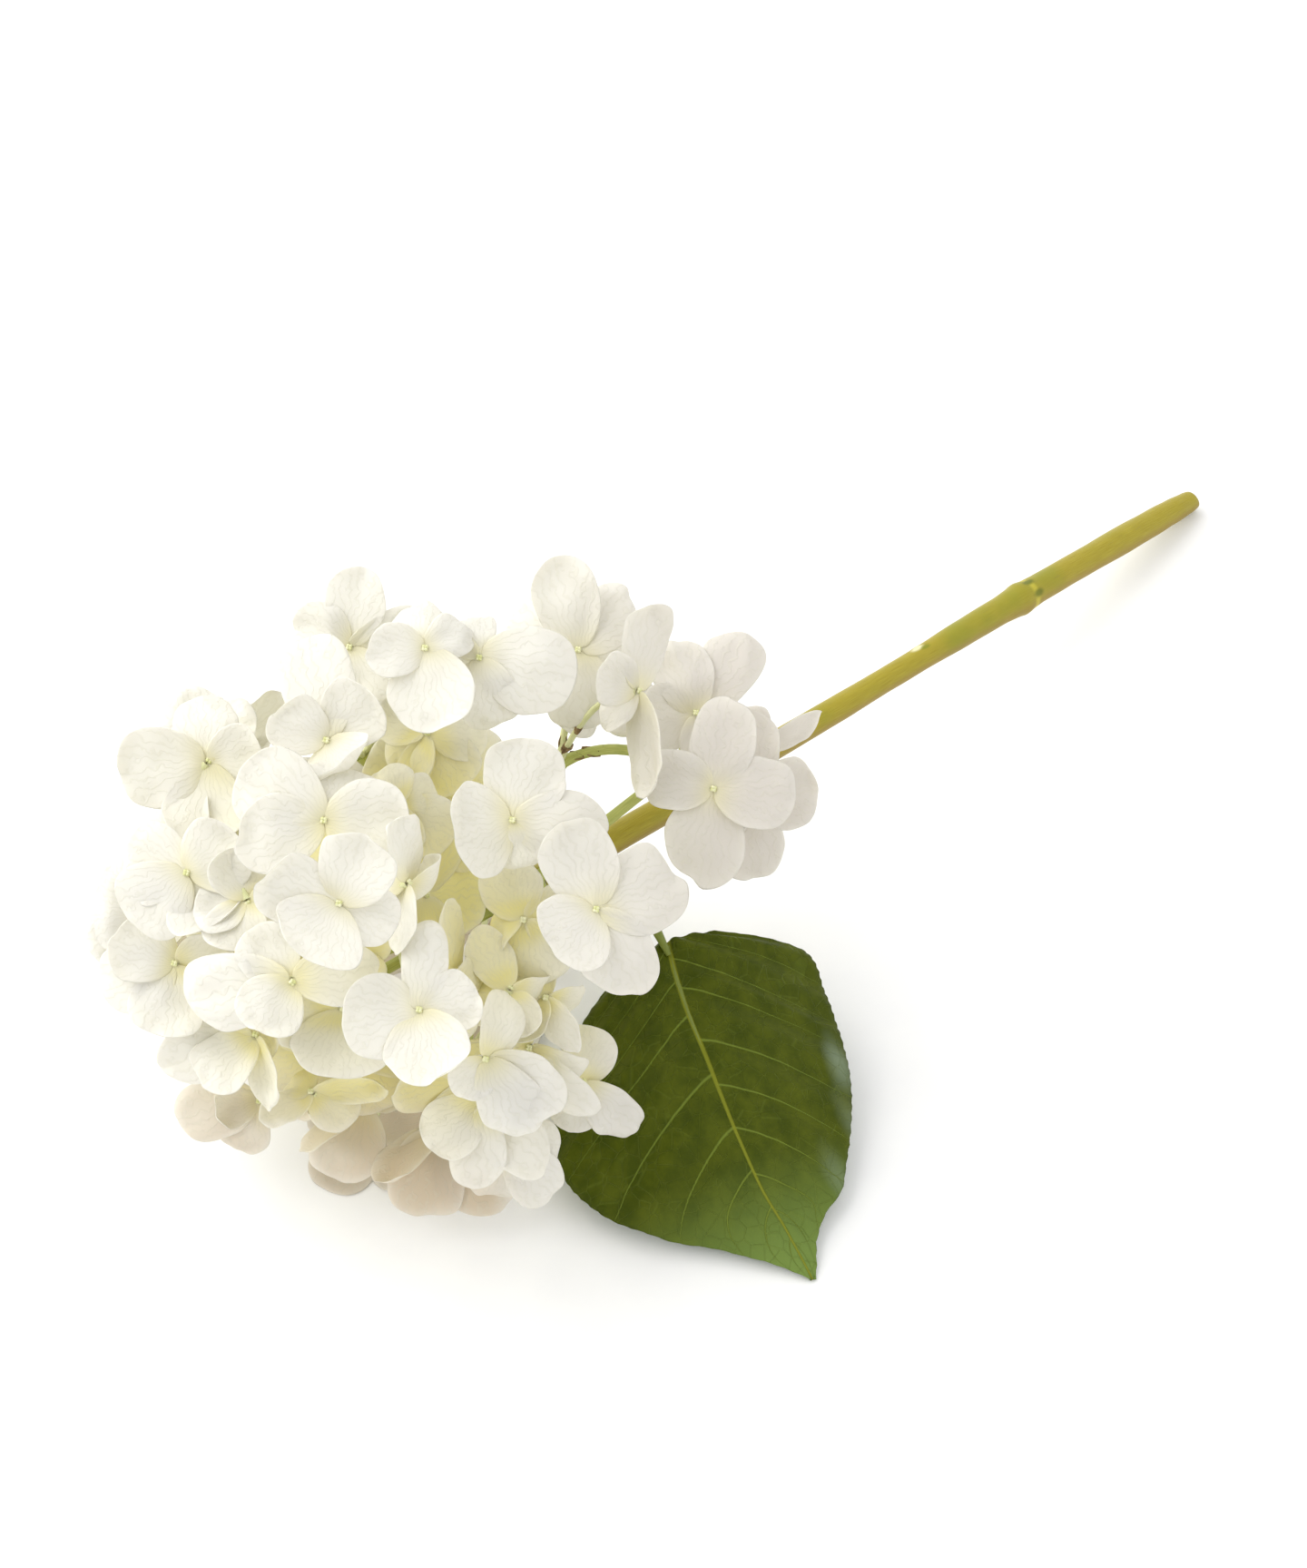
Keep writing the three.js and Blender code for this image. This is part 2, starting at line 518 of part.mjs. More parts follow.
/** Every floret of the head, the hand-set ones first. */
function florets() {
  const face = { across: ACROSS, up: UP, out: OUT };
  const list = BLOOMS.map(bloom);
  for (const [across, up, out, lean, toward, turn, size] of FILLERS) {
    const [l, t] = [radians(lean), radians(toward)];
    const normal = faceDirection(Math.sin(l) * Math.cos(t), Math.sin(l) * Math.sin(t), Math.cos(l));
    const centre = facePoint(across, up, out);
    const sepals = evenSepals(size, FILLER_CUP);
    list.push({ centre, normal, axes: floretAxes(normal, turn, face), sepals });
  }
  const ground = { across: vector(1, 0, 0), up: vector(0, -1, 0), out: vector(0, 0, -1) };
  for (const [x, y, turn, size] of PRESSED) {
    const normal = vector(0, 0, -1);
    const centre = vector(HEAD_CENTRE.x + x, HEAD_CENTRE.y + y, PETAL / 2);
    list.push({ centre, normal, axes: floretAxes(normal, turn, ground), sepals: evenSepals(size, 0) });
  }
  for (const [across, up, out, turn, size] of BACK) {
    const normal = faceDirection(across, up, out).normalize();
    const centre = facePoint(across, up, out);
    list.push({ centre, normal, axes: floretAxes(normal, turn, face), sepals: evenSepals(size, BACK_CUP) });
  }
  return list;
}

/** The head: rays off the stem's top, a pedicel to each floret, all one body. */
function flowerHead() {
  const knuckleAt = stemTop.clone().addScaledVector(stemDirection, -4.5);
  const knuckleEnd = stemTop.clone();
  const knuckle = rod(new THREE.LineCurve3(knuckleAt, knuckleEnd), 3.6, 10, 1);
  const hub = new THREE.IcosahedronGeometry(4.4, 0);
  hub.translate(knuckleAt.x, knuckleAt.y, knuckleAt.z);
  const bodies = [knuckle, solid(hub)];
  const forks = FORKS.map((fork) => facePoint(...fork));
  const root = knuckleAt.clone().addScaledVector(stemDirection, -1);
  for (const fork of forks) {
    const bend = root.clone().lerp(fork, 0.45).addScaledVector(stemDirection, -5);
    const knot = new THREE.OctahedronGeometry(KNOT_RADIUS, 0);
    knot.translate(fork.x, fork.y, fork.z);
    bodies.push(rod(new THREE.QuadraticBezierCurve3(root, bend, fork), RAY_RADIUS, 5, 3));
    bodies.push(solid(knot));
  }
  for (const one of florets()) {
    const foot = one.centre.clone().addScaledVector(one.normal, -13);
    const fork = forks.reduce((a, b) => (b.distanceTo(foot) < a.distanceTo(foot) ? b : a));
    const pedicel = new THREE.QuadraticBezierCurve3(fork, foot, one.centre);
    bodies.push(rod(pedicel, PEDICEL_RADIUS, 4, 2));
    bodies.push(floret(one));
  }
  const stemRoom = stemBar(CLEARANCE);
  const leafRoom = blade(CLEARANCE).add(leafStalk(CLEARANCE));
  return largest(joined(bodies).subtract(stemRoom).subtract(leafRoom));
}

// ---- the flower ----

const STEM_GREEN = new THREE.MeshStandardMaterial({ color: 0x9c9438, roughness: 0.6, metalness: 0 });
const LEAF_GREEN = new THREE.MeshStandardMaterial({ color: 0x3c571f, roughness: 0.5, metalness: 0 });
const CREAM_WHITE = new THREE.MeshStandardMaterial({ color: 0xf4f1e2, roughness: 0.7, metalness: 0 });

const group = new THREE.Group();

/** Adds one named piece. */
function piece(name, body, material) {
  const mesh = new THREE.Mesh(geometryOf(body), material);
  mesh.name = name;
  group.add(mesh);
}

const stemRoomForLeaf = stemBar(CLEARANCE);
piece('stem', stem(), STEM_GREEN);
piece('leaf', largest(blade(0).add(leafStalk(0)).subtract(stemRoomForLeaf)), LEAF_GREEN);
piece('flower_head', flowerHead(), CREAM_WHITE);

export default group;
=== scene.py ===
import math
import random

import bmesh
import bpy
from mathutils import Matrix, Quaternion, Vector, noise


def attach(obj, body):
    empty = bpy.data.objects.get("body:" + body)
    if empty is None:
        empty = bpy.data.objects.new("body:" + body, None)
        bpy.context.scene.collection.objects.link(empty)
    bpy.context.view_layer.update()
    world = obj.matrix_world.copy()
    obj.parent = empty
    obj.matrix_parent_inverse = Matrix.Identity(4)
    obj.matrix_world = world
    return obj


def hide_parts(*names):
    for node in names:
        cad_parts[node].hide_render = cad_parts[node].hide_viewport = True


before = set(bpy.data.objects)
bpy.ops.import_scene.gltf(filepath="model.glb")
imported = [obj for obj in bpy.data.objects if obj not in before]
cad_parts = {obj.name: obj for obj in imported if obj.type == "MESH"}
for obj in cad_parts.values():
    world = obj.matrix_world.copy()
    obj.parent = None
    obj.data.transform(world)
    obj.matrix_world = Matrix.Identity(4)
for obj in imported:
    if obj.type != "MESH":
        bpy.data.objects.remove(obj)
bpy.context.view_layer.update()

# ---------------------------------------------------------------- camera
# A cut mophead hydrangea lying on a pale surface, seen from above its best side. Everything about
# the bloom is laid out on that side's own axes: across it, up it and out of it.

MM = 0.001
HEAD_CENTRE = Vector((-113.7, 22.9, 62.0)) * MM
FACE_TURN = math.radians(-45)
FACE_RISE = math.radians(50)
ACROSS = Vector((math.cos(FACE_TURN), math.sin(FACE_TURN), 0))
OUT = Vector((
    math.sin(FACE_TURN) * math.cos(FACE_RISE),
    -math.cos(FACE_TURN) * math.cos(FACE_RISE),
    math.sin(FACE_RISE),
))
UP = OUT.cross(ACROSS)
CAMERA_FROM_HEAD = (60.87, 35.11, 886.44)


def face_direction(across, up, out):
    """A direction given on the bloom's own axes."""
    return ACROSS * across + UP * up + OUT * out


def face_point(across, up, out):
    """A place given in millimetres on the bloom's own axes from the head's centre."""
    return HEAD_CENTRE + face_direction(across, up, out) * MM


def from_head(place):
    """A place given in millimetres from the head's centre."""
    return HEAD_CENTRE + Vector(place) * MM


camera_data = bpy.data.cameras.new("camera")
camera_data.lens = 85
camera_data.sensor_width = 36
camera_data.clip_start = 0.05
camera_data.clip_end = 50
camera = bpy.data.objects.new("camera", camera_data)
camera.location = face_point(*CAMERA_FROM_HEAD)
camera.rotation_mode = "QUATERNION"
camera.rotation_quaternion = (-OUT).to_track_quat("-Z", "Y")
bpy.context.collection.objects.link(camera)
bpy.context.scene.camera = camera

# ---------------------------------------------------------------- table and light
# A plain pale table top, wide enough to fill the view, under a bright even studio: one big soft
# light high on the left, a weaker one low on the right and white walls all round.


def new_material(name):
    """A material with its node tree and its shader."""
    made = bpy.data.materials.new(name)
    made.use_nodes = True
    return made, made.node_tree, made.node_tree.nodes["Principled BSDF"]


def node(tree, kind, inputs=None, **settings):
    """A shader node with its settings, each input set to a value or linked from a socket."""
    made = tree.nodes.new("ShaderNode" + kind)
    for key, value in settings.items():
        setattr(made, key, value)
    for key, value in (inputs or {}).items():
        if isinstance(value, bpy.types.NodeSocket):
            tree.links.new(value, made.inputs[key])
        else:
            made.inputs[key].default_value = value
    return made


def calc(tree, operation, first, second=0.0, third=0.0):
    """The result of a Math node."""
    return node(tree, "Math", {0: first, 1: second, 2: third}, operation=operation).outputs[0]


def fade(tree, value, start, end):
    """0 to 1, smoothly, as a value goes from start to end."""
    inputs = {"Value": value, "From Min": start, "From Max": end}
    return node(tree, "MapRange", inputs, interpolation_type="SMOOTHSTEP").outputs["Result"]


def blend(tree, factor, first, second):
    """The colour of a Mix node, from first to second."""
    return node(tree, "Mix", {0: factor, 6: first, 7: second}, data_type="RGBA").outputs[2]


def bump(tree, shader, height, distance, strength):
    """Raises a shader's surface by a height of 0 to 1 times a distance in metres."""
    inputs = {"Height": height, "Distance": distance, "Strength": strength}
    tree.links.new(node(tree, "Bump", inputs).outputs["Normal"], shader.inputs["Normal"])


def speckle(tree, vector, scale, detail=2.0, roughness=0.5):
    """A noise value from 0 to 1."""
    inputs = {"Vector": vector, "Scale": scale, "Detail": detail, "Roughness": roughness}
    return node(tree, "TexNoise", inputs).outputs["Fac"]


def distance_to(tree, vector, place, stretch):
    """How far a vector lies from a place, each axis stretched."""
    off = node(tree, "VectorMath", {0: vector, 1: (*place, 0)}, operation="SUBTRACT").outputs["Vector"]
    off = node(tree, "VectorMath", {0: off, 1: (*stretch, 0)}, operation="MULTIPLY").outputs["Vector"]
    return node(tree, "VectorMath", {0: off}, operation="LENGTH").outputs["Value"]


def object_from(bm, name, material):
    """A new smooth-shaded object that holds the mesh built so far."""
    mesh = bpy.data.meshes.new(name)
    bm.to_mesh(mesh)
    bm.free()
    for face in mesh.polygons:
        face.use_smooth = True
    made = bpy.data.objects.new(name, mesh)
    mesh.materials.append(material)
    bpy.context.collection.objects.link(made)
    return made


table_paint, tree, shader = new_material("table_top")
where = node(tree, "TexCoord").outputs["Object"]
grain = speckle(tree, where, 60, 4)
shade = blend(tree, fade(tree, grain, 0.3, 0.7), (0.955, 0.955, 0.955, 1), (0.98, 0.98, 0.975, 1))
tree.links.new(shade, shader.inputs["Base Color"])
shader.inputs["Roughness"].default_value = 0.7
shader.inputs["Specular IOR Level"].default_value = 0.1
bump(tree, shader, grain, 0.0002, 0.2)

bm = bmesh.new()
bmesh.ops.create_grid(bm, x_segments=4, y_segments=4, size=4.0)
table = object_from(bm, "table_top", table_paint)


def soft_light(name, place, size, watts, colour):
    """A square light that faces the head."""
    data = bpy.data.lights.new(name, "AREA")
    data.size = size
    data.energy = watts
    data.color = colour
    made = bpy.data.objects.new(name, data)
    made.location = face_point(*place)
    made.rotation_mode = "QUATERNION"
    made.rotation_quaternion = (HEAD_CENTRE - made.location).to_track_quat("-Z", "Y")
    bpy.context.collection.objects.link(made)


soft_light("key_light", (-850, 750, 450), 1.5, 16.5, (1.0, 0.995, 0.98))
soft_light("fill_light", (900, 100, 700), 1.2, 1.6, (0.97, 0.97, 1.0))

world = bpy.data.worlds.new("studio")
world.use_nodes = True
world.node_tree.nodes["Background"].inputs["Color"].default_value = (1.0, 1.0, 1.0, 1)
world.node_tree.nodes["Background"].inputs["Strength"].default_value = 0.88
bpy.context.scene.world = world
bpy.context.scene.view_settings.view_transform = "Standard"

# ---------------------------------------------------------------- stem
# The season's shoot, still green: smooth bark over soft wood, a swollen node where a pair of
# leaves dropped off, corky specks along it, and a slanting secateur cut at its far end.

# The stem's middle line from the head's centre, the node's share of its length, and its radius in
# millimetres at shares of its length.
STEM_AXIS = [
    (36, -9.6, -5.4), (66, -10.4, -10.6), (135, -11.8, -23.2), (215, -10.8, -40.0), (297, -9.6, -59.5),
]
STEM_NODE = 0.69
STEM_PROFILE = [
    (0, 4.2), (0.03, 3.8), (0.12, 3.7), (0.3, 3.6), (0.4, 3.5), (0.48, 3.25), (0.53, 3.3),
    (0.6, 3.7), (0.655, 3.85), (0.68, 4.15), (0.69, 4.35), (0.705, 4.15), (0.72, 3.98), (0.8, 3.85),
    (0.86, 4.0), (0.92, 3.8), (0.955, 3.55), (0.98, 3.15), (0.994, 2.75), (1, 2.2),
]
BUD_SHARE = 0.53
BUD_ANGLE = 5.24
CUT_SLANT = math.tan(math.radians(16))
# Marks in the bark's skin: share along, turn round, size and colour.
BARK_MARKS = [
    (0.702, 0.775, 0.011, (0.10, 0.13, 0.008, 1)), (0.705, 0.61, 0.011, (0.13, 0.15, 0.008, 1)),
    (0.528, 0.815, 0.012, (0.85, 0.82, 0.50, 1)), (0.536, 0.76, 0.009, (0.22, 0.24, 0.012, 1)),
]


def smooth_path(points):
    """A curve through some points, as a function from a share of its length to place and way."""
    ends = [points[0] * 2 - points[1], *points, points[-1] * 2 - points[-2]]
    samples = []
    for i in range(1, len(ends) - 2):
        before, start, end, after = ends[i - 1:i + 3]
        for step in range(24):
            t = step / 24
            samples.append(0.5 * (
                2 * start + (end - before) * t
                + (2 * before - 5 * start + 4 * end - after) * t ** 2
                + (3 * start - before - 3 * end + after) * t ** 3
            ))
    samples.append(points[-1])
    reach = [0.0]
    for a, b in zip(samples, samples[1:]):
        reach.append(reach[-1] + (b - a).length)

    def at(share):
        goal = share * reach[-1]
        i = 0
        while i < len(reach) - 2 and reach[i + 1] < goal:
            i += 1
        t = (goal - reach[i]) / (reach[i + 1] - reach[i])
        return samples[i].lerp(samples[i + 1], t), (samples[i + 1] - samples[i]).normalized()

    return at


def tube(bm, path, radius, rings, sides, reference):
    """A rod rolled from a grid along a path; its UV runs along it and round it."""
    made = bmesh.ops.create_grid(bm, x_segments=rings, y_segments=sides, size=1, calc_uvs=True)["verts"]
    for vert in made:
        share, angle = (vert.co.x + 1) / 2, math.pi * (vert.co.y + 1)
        place, way = path(share)
        side = (reference - way * reference.dot(way)).normalized()
        lift = side.cross(way)
        vert.co = place + (side * math.cos(angle) + lift * math.sin(angle)) * radius(share, angle)
    bmesh.ops.remove_doubles(bm, verts=made, dist=1e-7)


def bell(value, width):
    """A smooth hump, 1 at 0."""
    return math.exp(-((value / width) ** 2))


def stem_radius(share, angle):
    """Radius of the bark in metres: the profile, two leaf scars at the node, a bud, unevenness."""
    i = 1
    while i < len(STEM_PROFILE) - 1 and STEM_PROFILE[i][0] < share:
        i += 1
    (start, low), (stop, high) = STEM_PROFILE[i - 1], STEM_PROFILE[i]
    t = (share - start) / (stop - start)
    smooth = low + (high - low) * (t if i in (1, len(STEM_PROFILE) - 1) else t * t * (3 - 2 * t))
    scars = 0.3 * bell(share - STEM_NODE, 0.009) * abs(math.cos(angle + math.pi / 4)) ** 3
    bud = 0.3 * bell(share - BUD_SHARE, 0.004) * bell(angle - BUD_ANGLE, 0.35)
    uneven = 0.08 * noise.noise(Vector((share * 30, math.cos(angle), math.sin(angle))))
    return (smooth + scars + bud + uneven) * MM


bark, tree, shader = new_material("green_bark")
uv = node(tree, "UVMap", uv_map="UVMap").outputs["UV"]
along, around, _ = node(tree, "SeparateXYZ", {0: uv}).outputs
where = node(tree, "TexCoord").outputs["Object"]
stretched = node(tree, "Mapping", {"Vector": uv, "Scale": (14, 60, 1)}).outputs["Vector"]
streaks = speckle(tree, stretched, 3, 4)
patches = speckle(tree, where, 45, 3)
colour = blend(tree, fade(tree, streaks, 0.3, 0.75), (0.33, 0.26, 0.018, 1), (0.43, 0.36, 0.035, 1))
colour = blend(tree, fade(tree, patches, 0.45, 0.75), colour, (0.29, 0.28, 0.022, 1))
spots = node(tree, "TexVoronoi", {"Vector": stretched, "Scale": 1.2}).outputs["Distance"]
spots = fade(tree, spots, 0.13, 0.06)
colour = blend(tree, calc(tree, "MULTIPLY", spots, 0.45), colour, (0.14, 0.10, 0.03, 1))
# Painted shade: a dark brown band along the side of the stem that lies lowest in the view.
painted_shade_lower_edge = fade(tree, calc(tree, "ABSOLUTE", calc(tree, "SUBTRACT", around, 0.47)), 0.13, 0.02)
colour = blend(tree, calc(tree, "MULTIPLY", painted_shade_lower_edge, 0.55), colour, (0.27, 0.16, 0.02, 1))
ring = fade(tree, calc(tree, "ABSOLUTE", calc(tree, "SUBTRACT", along, STEM_NODE + 0.012)), 0.006, 0.001)
colour = blend(tree, calc(tree, "MULTIPLY", ring, 0.6), colour, (0.60, 0.52, 0.05, 1))
for at, turn, size, paint in BARK_MARKS:
    off = distance_to(tree, uv, (at, turn), (1, 0.18))
    colour = blend(tree, calc(tree, "MULTIPLY", fade(tree, off, size, size * 0.3), 0.85), colour, paint)
pith = blend(tree, patches, (0.62, 0.60, 0.38, 1), (0.80, 0.78, 0.58, 1))
colour = blend(tree, fade(tree, along, 0.996, 0.999), colour, pith)
tree.links.new(colour, shader.inputs["Base Color"])
shader.inputs["Roughness"].default_value = 0.42
shader.inputs["Specular IOR Level"].default_value = 0.25
bump(tree, shader, calc(tree, "ADD", streaks, spots), 0.0002, 0.4)

stem_path = smooth_path([from_head(place) for place in STEM_AXIS])
bm = bmesh.new()
bark_uv = bm.loops.layers.uv.new("UVMap")
tube(bm, stem_path, stem_radius, 220, 28, Vector((0, 1, 0)))
end, end_way = stem_path(1.0)
for vert in bm.verts:
    past = (vert.co - end).dot(end_way)
    height = (vert.co - end).z / MM
    limit = (-2.2 - CUT_SLANT * height) * MM
    if past > limit:
        vert.co += end_way * (limit - past)
rims = [edge for edge in bm.edges if edge.is_boundary]
for face in bmesh.ops.holes_fill(bm, edges=rims)["faces"]:
    for loop in face.loops:
        loop[bark_uv].uv = (1.0, 0.5)
stem = object_from(bm, "woody_stem", bark)
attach(stem, "root")
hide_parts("stem")

# ---------------------------------------------------------------- leaf
# One broad leaf, grown on a short petiole from the stem under the head: a dark, slightly puckered
# blade with sunken side veins, a fine toothed edge and a pale, ribbed underside.

# The blade, by stations along it from the petiole to the tip: distance along; then the sideways
# place and height of the midrib, of the edge on the stem's side and of the edge under the head.
LEAF_BASE = HEAD_CENTRE + Vector((60.9, -30.0, 0)) * MM
LEAF_HEADING = math.radians(248.4)
LEAF_THICKNESS = 0.55
LEAF_STATIONS = [
    (0, 0, 30, 13, 27, -10, 27),
    (4, -0.8, 29.8, 26, 22, -19, 23),
    (9, -1.8, 29, 34.5, 17.5, -27, 19.5),
    (20, -3.2, 27.4, 34.6, 14.6, -37, 14.5),
    (33, -3.8, 24.6, 33, 12.6, -44.4, 10),
    (43, -4.2, 21.4, 30.8, 10.6, -45.2, 7.4),
    (54, -4.2, 17, 26.2, 8.6, -40.6, 5.8),
    (66, -3.4, 11, 19, 6.6, -29.2, 4.6),
    (71, -2.5, 8.6, 15.4, 5.4, -21.8, 4),
    (75, -1.8, 7, 9.2, 4.6, -15.9, 3.5),
    (80, -1.1, 4.8, 4.8, 3.4, -9.6, 3),
    (85, -0.4, 2.4, 2.4, 1.8, -3.6, 2),
    (88.4, 0, 0.9, 0.5, 0.9, -0.5, 0.9),
]
LEAF_LENGTH = LEAF_STATIONS[-1][0]
# Where each side vein leaves the midrib, in millimetres along; those below 0 start in the petiole.
VEINS_STEM_SIDE = [-40, -22, -8, 5, 13, 28, 40, 51, 62, 71, 79, 86]
VEINS_HEAD_SIDE = [-40, -24, -10, 1, 11, 21, 37, 51, 61, 70, 78, 86]
PETIOLE = [(58.6, -12.2, -12.4), (59.0, -19.5, -21.0), (59.8, -25.5, -27.5), (58.0, -33.5, -32.4)]
TEETH = 34
# Painted highlights on the blade: where each sits on its UV, and how strongly.
LEAF_PAINTED_HIGHLIGHTS = [(0.40, 0.835, 0.5), (0.56, 0.80, 0.3), (0.68, 0.70, 0.25)]


def station(column, along):
    """A column of the stations read smoothly at a distance along the leaf."""
    last = len(LEAF_STATIONS) - 2
    i = 0
    while i < last and along > LEAF_STATIONS[i + 1][0]:
        i += 1
    rows = [LEAF_STATIONS[min(max(i + k, 0), last + 1)] for k in (-1, 0, 1, 2)]
    width = rows[2][0] - rows[1][0]
    t = (along - rows[1][0]) / width
    enter = (rows[2][column] - rows[0][column]) / (rows[2][0] - rows[0][0]) * width
    leave = (rows[3][column] - rows[1][column]) / (rows[3][0] - rows[1][0]) * width
    return (
        (2 * t ** 3 - 3 * t ** 2 + 1) * rows[1][column] + (t ** 3 - 2 * t ** 2 + t) * enter
        + (3 * t ** 2 - 2 * t ** 3) * rows[2][column] + (t ** 3 - t ** 2) * leave
    )


def vein_count(along, across, starts):
    """How many side veins lie below a place; a vein runs wherever this is whole."""
    start = along - 29 * abs(across) ** 1.12 * (1 - 0.5 * along / LEAF_LENGTH)
    i = 0
    while i < len(starts) - 2 and start > starts[i + 1]:
        i += 1
    return i + (start - starts[i]) / (starts[i + 1] - starts[i])


def blade_point(share, across):
    """A point of the blade's upper face, its distance along and its sideways place."""
    along = LEAF_LENGTH * share ** 1.25
    edge, edge_height = (3, 4) if across > 0 else (5, 6)
    t = abs(across)
    middle = station(1, along)
    notch = (share * TEETH) % 1.0
    tooth = (0.75 * notch - 0.4) * bell(1 - t, 0.06) * (1 if 0.03 < share < 0.985 else 0)
    sideways = middle + (station(edge, along) - middle) * t + math.copysign(tooth, across)
    arch = t ** 1.7
    height = station(2, along) * (1 - arch) + station(edge_height, along) * arch
    count = vein_count(along, across, VEINS_STEM_SIDE if across > 0 else VEINS_HEAD_SIDE)
    calm = min(1.0, t * 5) * (1 - 0.5 * t ** 4) * min(1.0, (1 - share) * 6)
    pucker = -0.55 * math.cos(2 * math.pi * count) * calm
    crease = -1.1 * bell(t, 0.07) * (1 - share)
    wave = 0.5 * noise.noise(Vector((share * 4, across * 2, 3.1)))
    height = max(height + pucker + crease + wave, LEAF_THICKNESS + 0.1)
    heading = Vector((math.cos(LEAF_HEADING), math.sin(LEAF_HEADING), 0))
    side = Vector((-heading.y, heading.x, 0))
    place = LEAF_BASE + (heading * along + side * sideways) * MM
    place.z = height * MM
    return place, along, sideways - middle


def leaf_material(name, low, high, vein, rib_green, tip, gloss):
    """Leaf green with paler veins: side veins from the second UV map, a net between them; painted light
    toward the tip and painted highlights.
    """
    made, tree, shader = new_material(name)
    flat = node(tree, "UVMap", uv_map="UVMap").outputs["UV"]
    veins = node(tree, "SeparateXYZ", {0: node(tree, "UVMap", uv_map="veins").outputs["UV"]})
    count, across = veins.outputs["X"], calc(tree, "ABSOLUTE", veins.outputs["Y"])
    drift = speckle(tree, flat, 7, 2)
    count = calc(tree, "ADD", count, calc(tree, "MULTIPLY", calc(tree, "SUBTRACT", drift, 0.5), 0.12))
    near = calc(tree, "PINGPONG", count, 0.5)
    reach = calc(tree, "MULTIPLY", calc(tree, "SUBTRACT", 1.2, across), 0.040)
    side_vein = fade(tree, near, reach, calc(tree, "MULTIPLY", reach, 0.25))
    split = node(tree, "SeparateXYZ", {0: flat})
    off_rib = calc(tree, "ABSOLUTE", calc(tree, "SUBTRACT", split.outputs["Y"], 0.5))
    taper = calc(tree, "MULTIPLY_ADD", split.outputs["X"], -0.0085, 0.0105)
    rib = fade(tree, off_rib, taper, calc(tree, "MULTIPLY", taper, 0.45))
    net = node(tree, "TexVoronoi", {"Vector": flat, "Scale": 26.0}, feature="DISTANCE_TO_EDGE")
    net = fade(tree, net.outputs["Distance"], 0.05, 0.0)
    mottle = speckle(tree, flat, 14, 5, 0.6)
    colour = blend(tree, fade(tree, mottle, 0.3, 0.7), low, high)
    # Painted light: the blade turns lighter toward the tip, where it bends up into the light.
    colour = blend(tree, fade(tree, split.outputs["X"], 0.55, 0.88), colour, tip)
    # Painted highlights: pale bluish spots blended into the colour where the glossy blade would reflect the
    # sky.
    for along, aside, strength in LEAF_PAINTED_HIGHLIGHTS:
        off = distance_to(tree, flat, (along, aside), (0.55, 1.3))
        painted_highlight = fade(tree, calc(tree, "MULTIPLY_ADD", drift, 0.05, off), 0.085, 0.025)
        colour = blend(tree, calc(tree, "MULTIPLY", painted_highlight, strength), colour, (0.30, 0.38, 0.27, 1))
    colour = blend(tree, calc(tree, "MULTIPLY", net, 0.16), colour, vein)
    colour = blend(tree, calc(tree, "MULTIPLY", side_vein, 0.85), colour, vein)
    colour = blend(tree, calc(tree, "MULTIPLY", rib, 0.9), colour, rib_green)
    tree.links.new(colour, shader.inputs["Base Color"])
    rough = node(tree, "MapRange", {"Value": mottle, "To Min": gloss, "To Max": gloss + 0.14})
    tree.links.new(rough.outputs["Result"], shader.inputs["Roughness"])
    shader.inputs["Specular IOR Level"].default_value = 0.09
    grooves = calc(tree, "MAXIMUM", side_vein, rib)
    grooves = calc(tree, "MAXIMUM", grooves, calc(tree, "MULTIPLY", net, 0.5))
    cells = calc(tree, "MULTIPLY", speckle(tree, flat, 220, 2), 0.25)
    bump(tree, shader, calc(tree, "SUBTRACT", cells, grooves), 0.00035, 0.8)
    return made


leaf_top = leaf_material(
    "leaf_upper", (0.048, 0.066, 0.002, 1), (0.084, 0.104, 0.005, 1), (0.17, 0.22, 0.03, 1),
    (0.22, 0.235, 0.02, 1), (0.17, 0.25, 0.055, 1), 0.36,
)
leaf_under = leaf_material(
    "leaf_underside", (0.13, 0.20, 0.07, 1), (0.17, 0.25, 0.09, 1), (0.33, 0.38, 0.16, 1),
    (0.36, 0.42, 0.18, 1), (0.18, 0.26, 0.10, 1), 0.6,
)

bm = bmesh.new()
flat_uv = bm.loops.layers.uv.new("UVMap")
vein_uv = bm.loops.layers.uv.new("veins")
grid = bmesh.ops.create_grid(bm, x_segments=110, y_segments=56, size=1)["verts"]
marks = {}
for vert in grid:
    share, across = (vert.co.x + 1) / 2, vert.co.y
    vert.co, along, sideways = blade_point(share, across)
    marks[vert] = (along, sideways, across)
for face in bm.faces:
    starts = VEINS_STEM_SIDE if sum(marks[vert][2] for vert in face.verts) > 0 else VEINS_HEAD_SIDE
    for loop in face.loops:
        along, sideways, across = marks[loop.vert]
        loop[flat_uv].uv = (along / 100, sideways / 100 + 0.5)
        loop[vein_uv].uv = (vein_count(along, across, starts), across)
blade = object_from(bm, "leaf_blade", leaf_top)
blade.data.materials.append(leaf_under)
skin = blade.modifiers.new("thickness", "SOLIDIFY")
skin.thickness = LEAF_THICKNESS * MM
skin.offset = -1
skin.material_offset = 1
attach(blade, "root")
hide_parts("leaf")

stalk_green, tree, shader = new_material("petiole_green")
uv = node(tree, "UVMap", uv_map="UVMap").outputs["UV"]
fibres = speckle(tree, node(tree, "Mapping", {"Vector": uv, "Scale": (6, 24, 1)}).outputs["Vector"], 3, 3)
colour = blend(tree, fade(tree, fibres, 0.3, 0.7), (0.15, 0.19, 0.02, 1), (0.21, 0.25, 0.035, 1))
tree.links.new(colour, shader.inputs["Base Color"])
shader.inputs["Roughness"].default_value = 0.5
bump(tree, shader, fibres, 0.0002, 0.4)

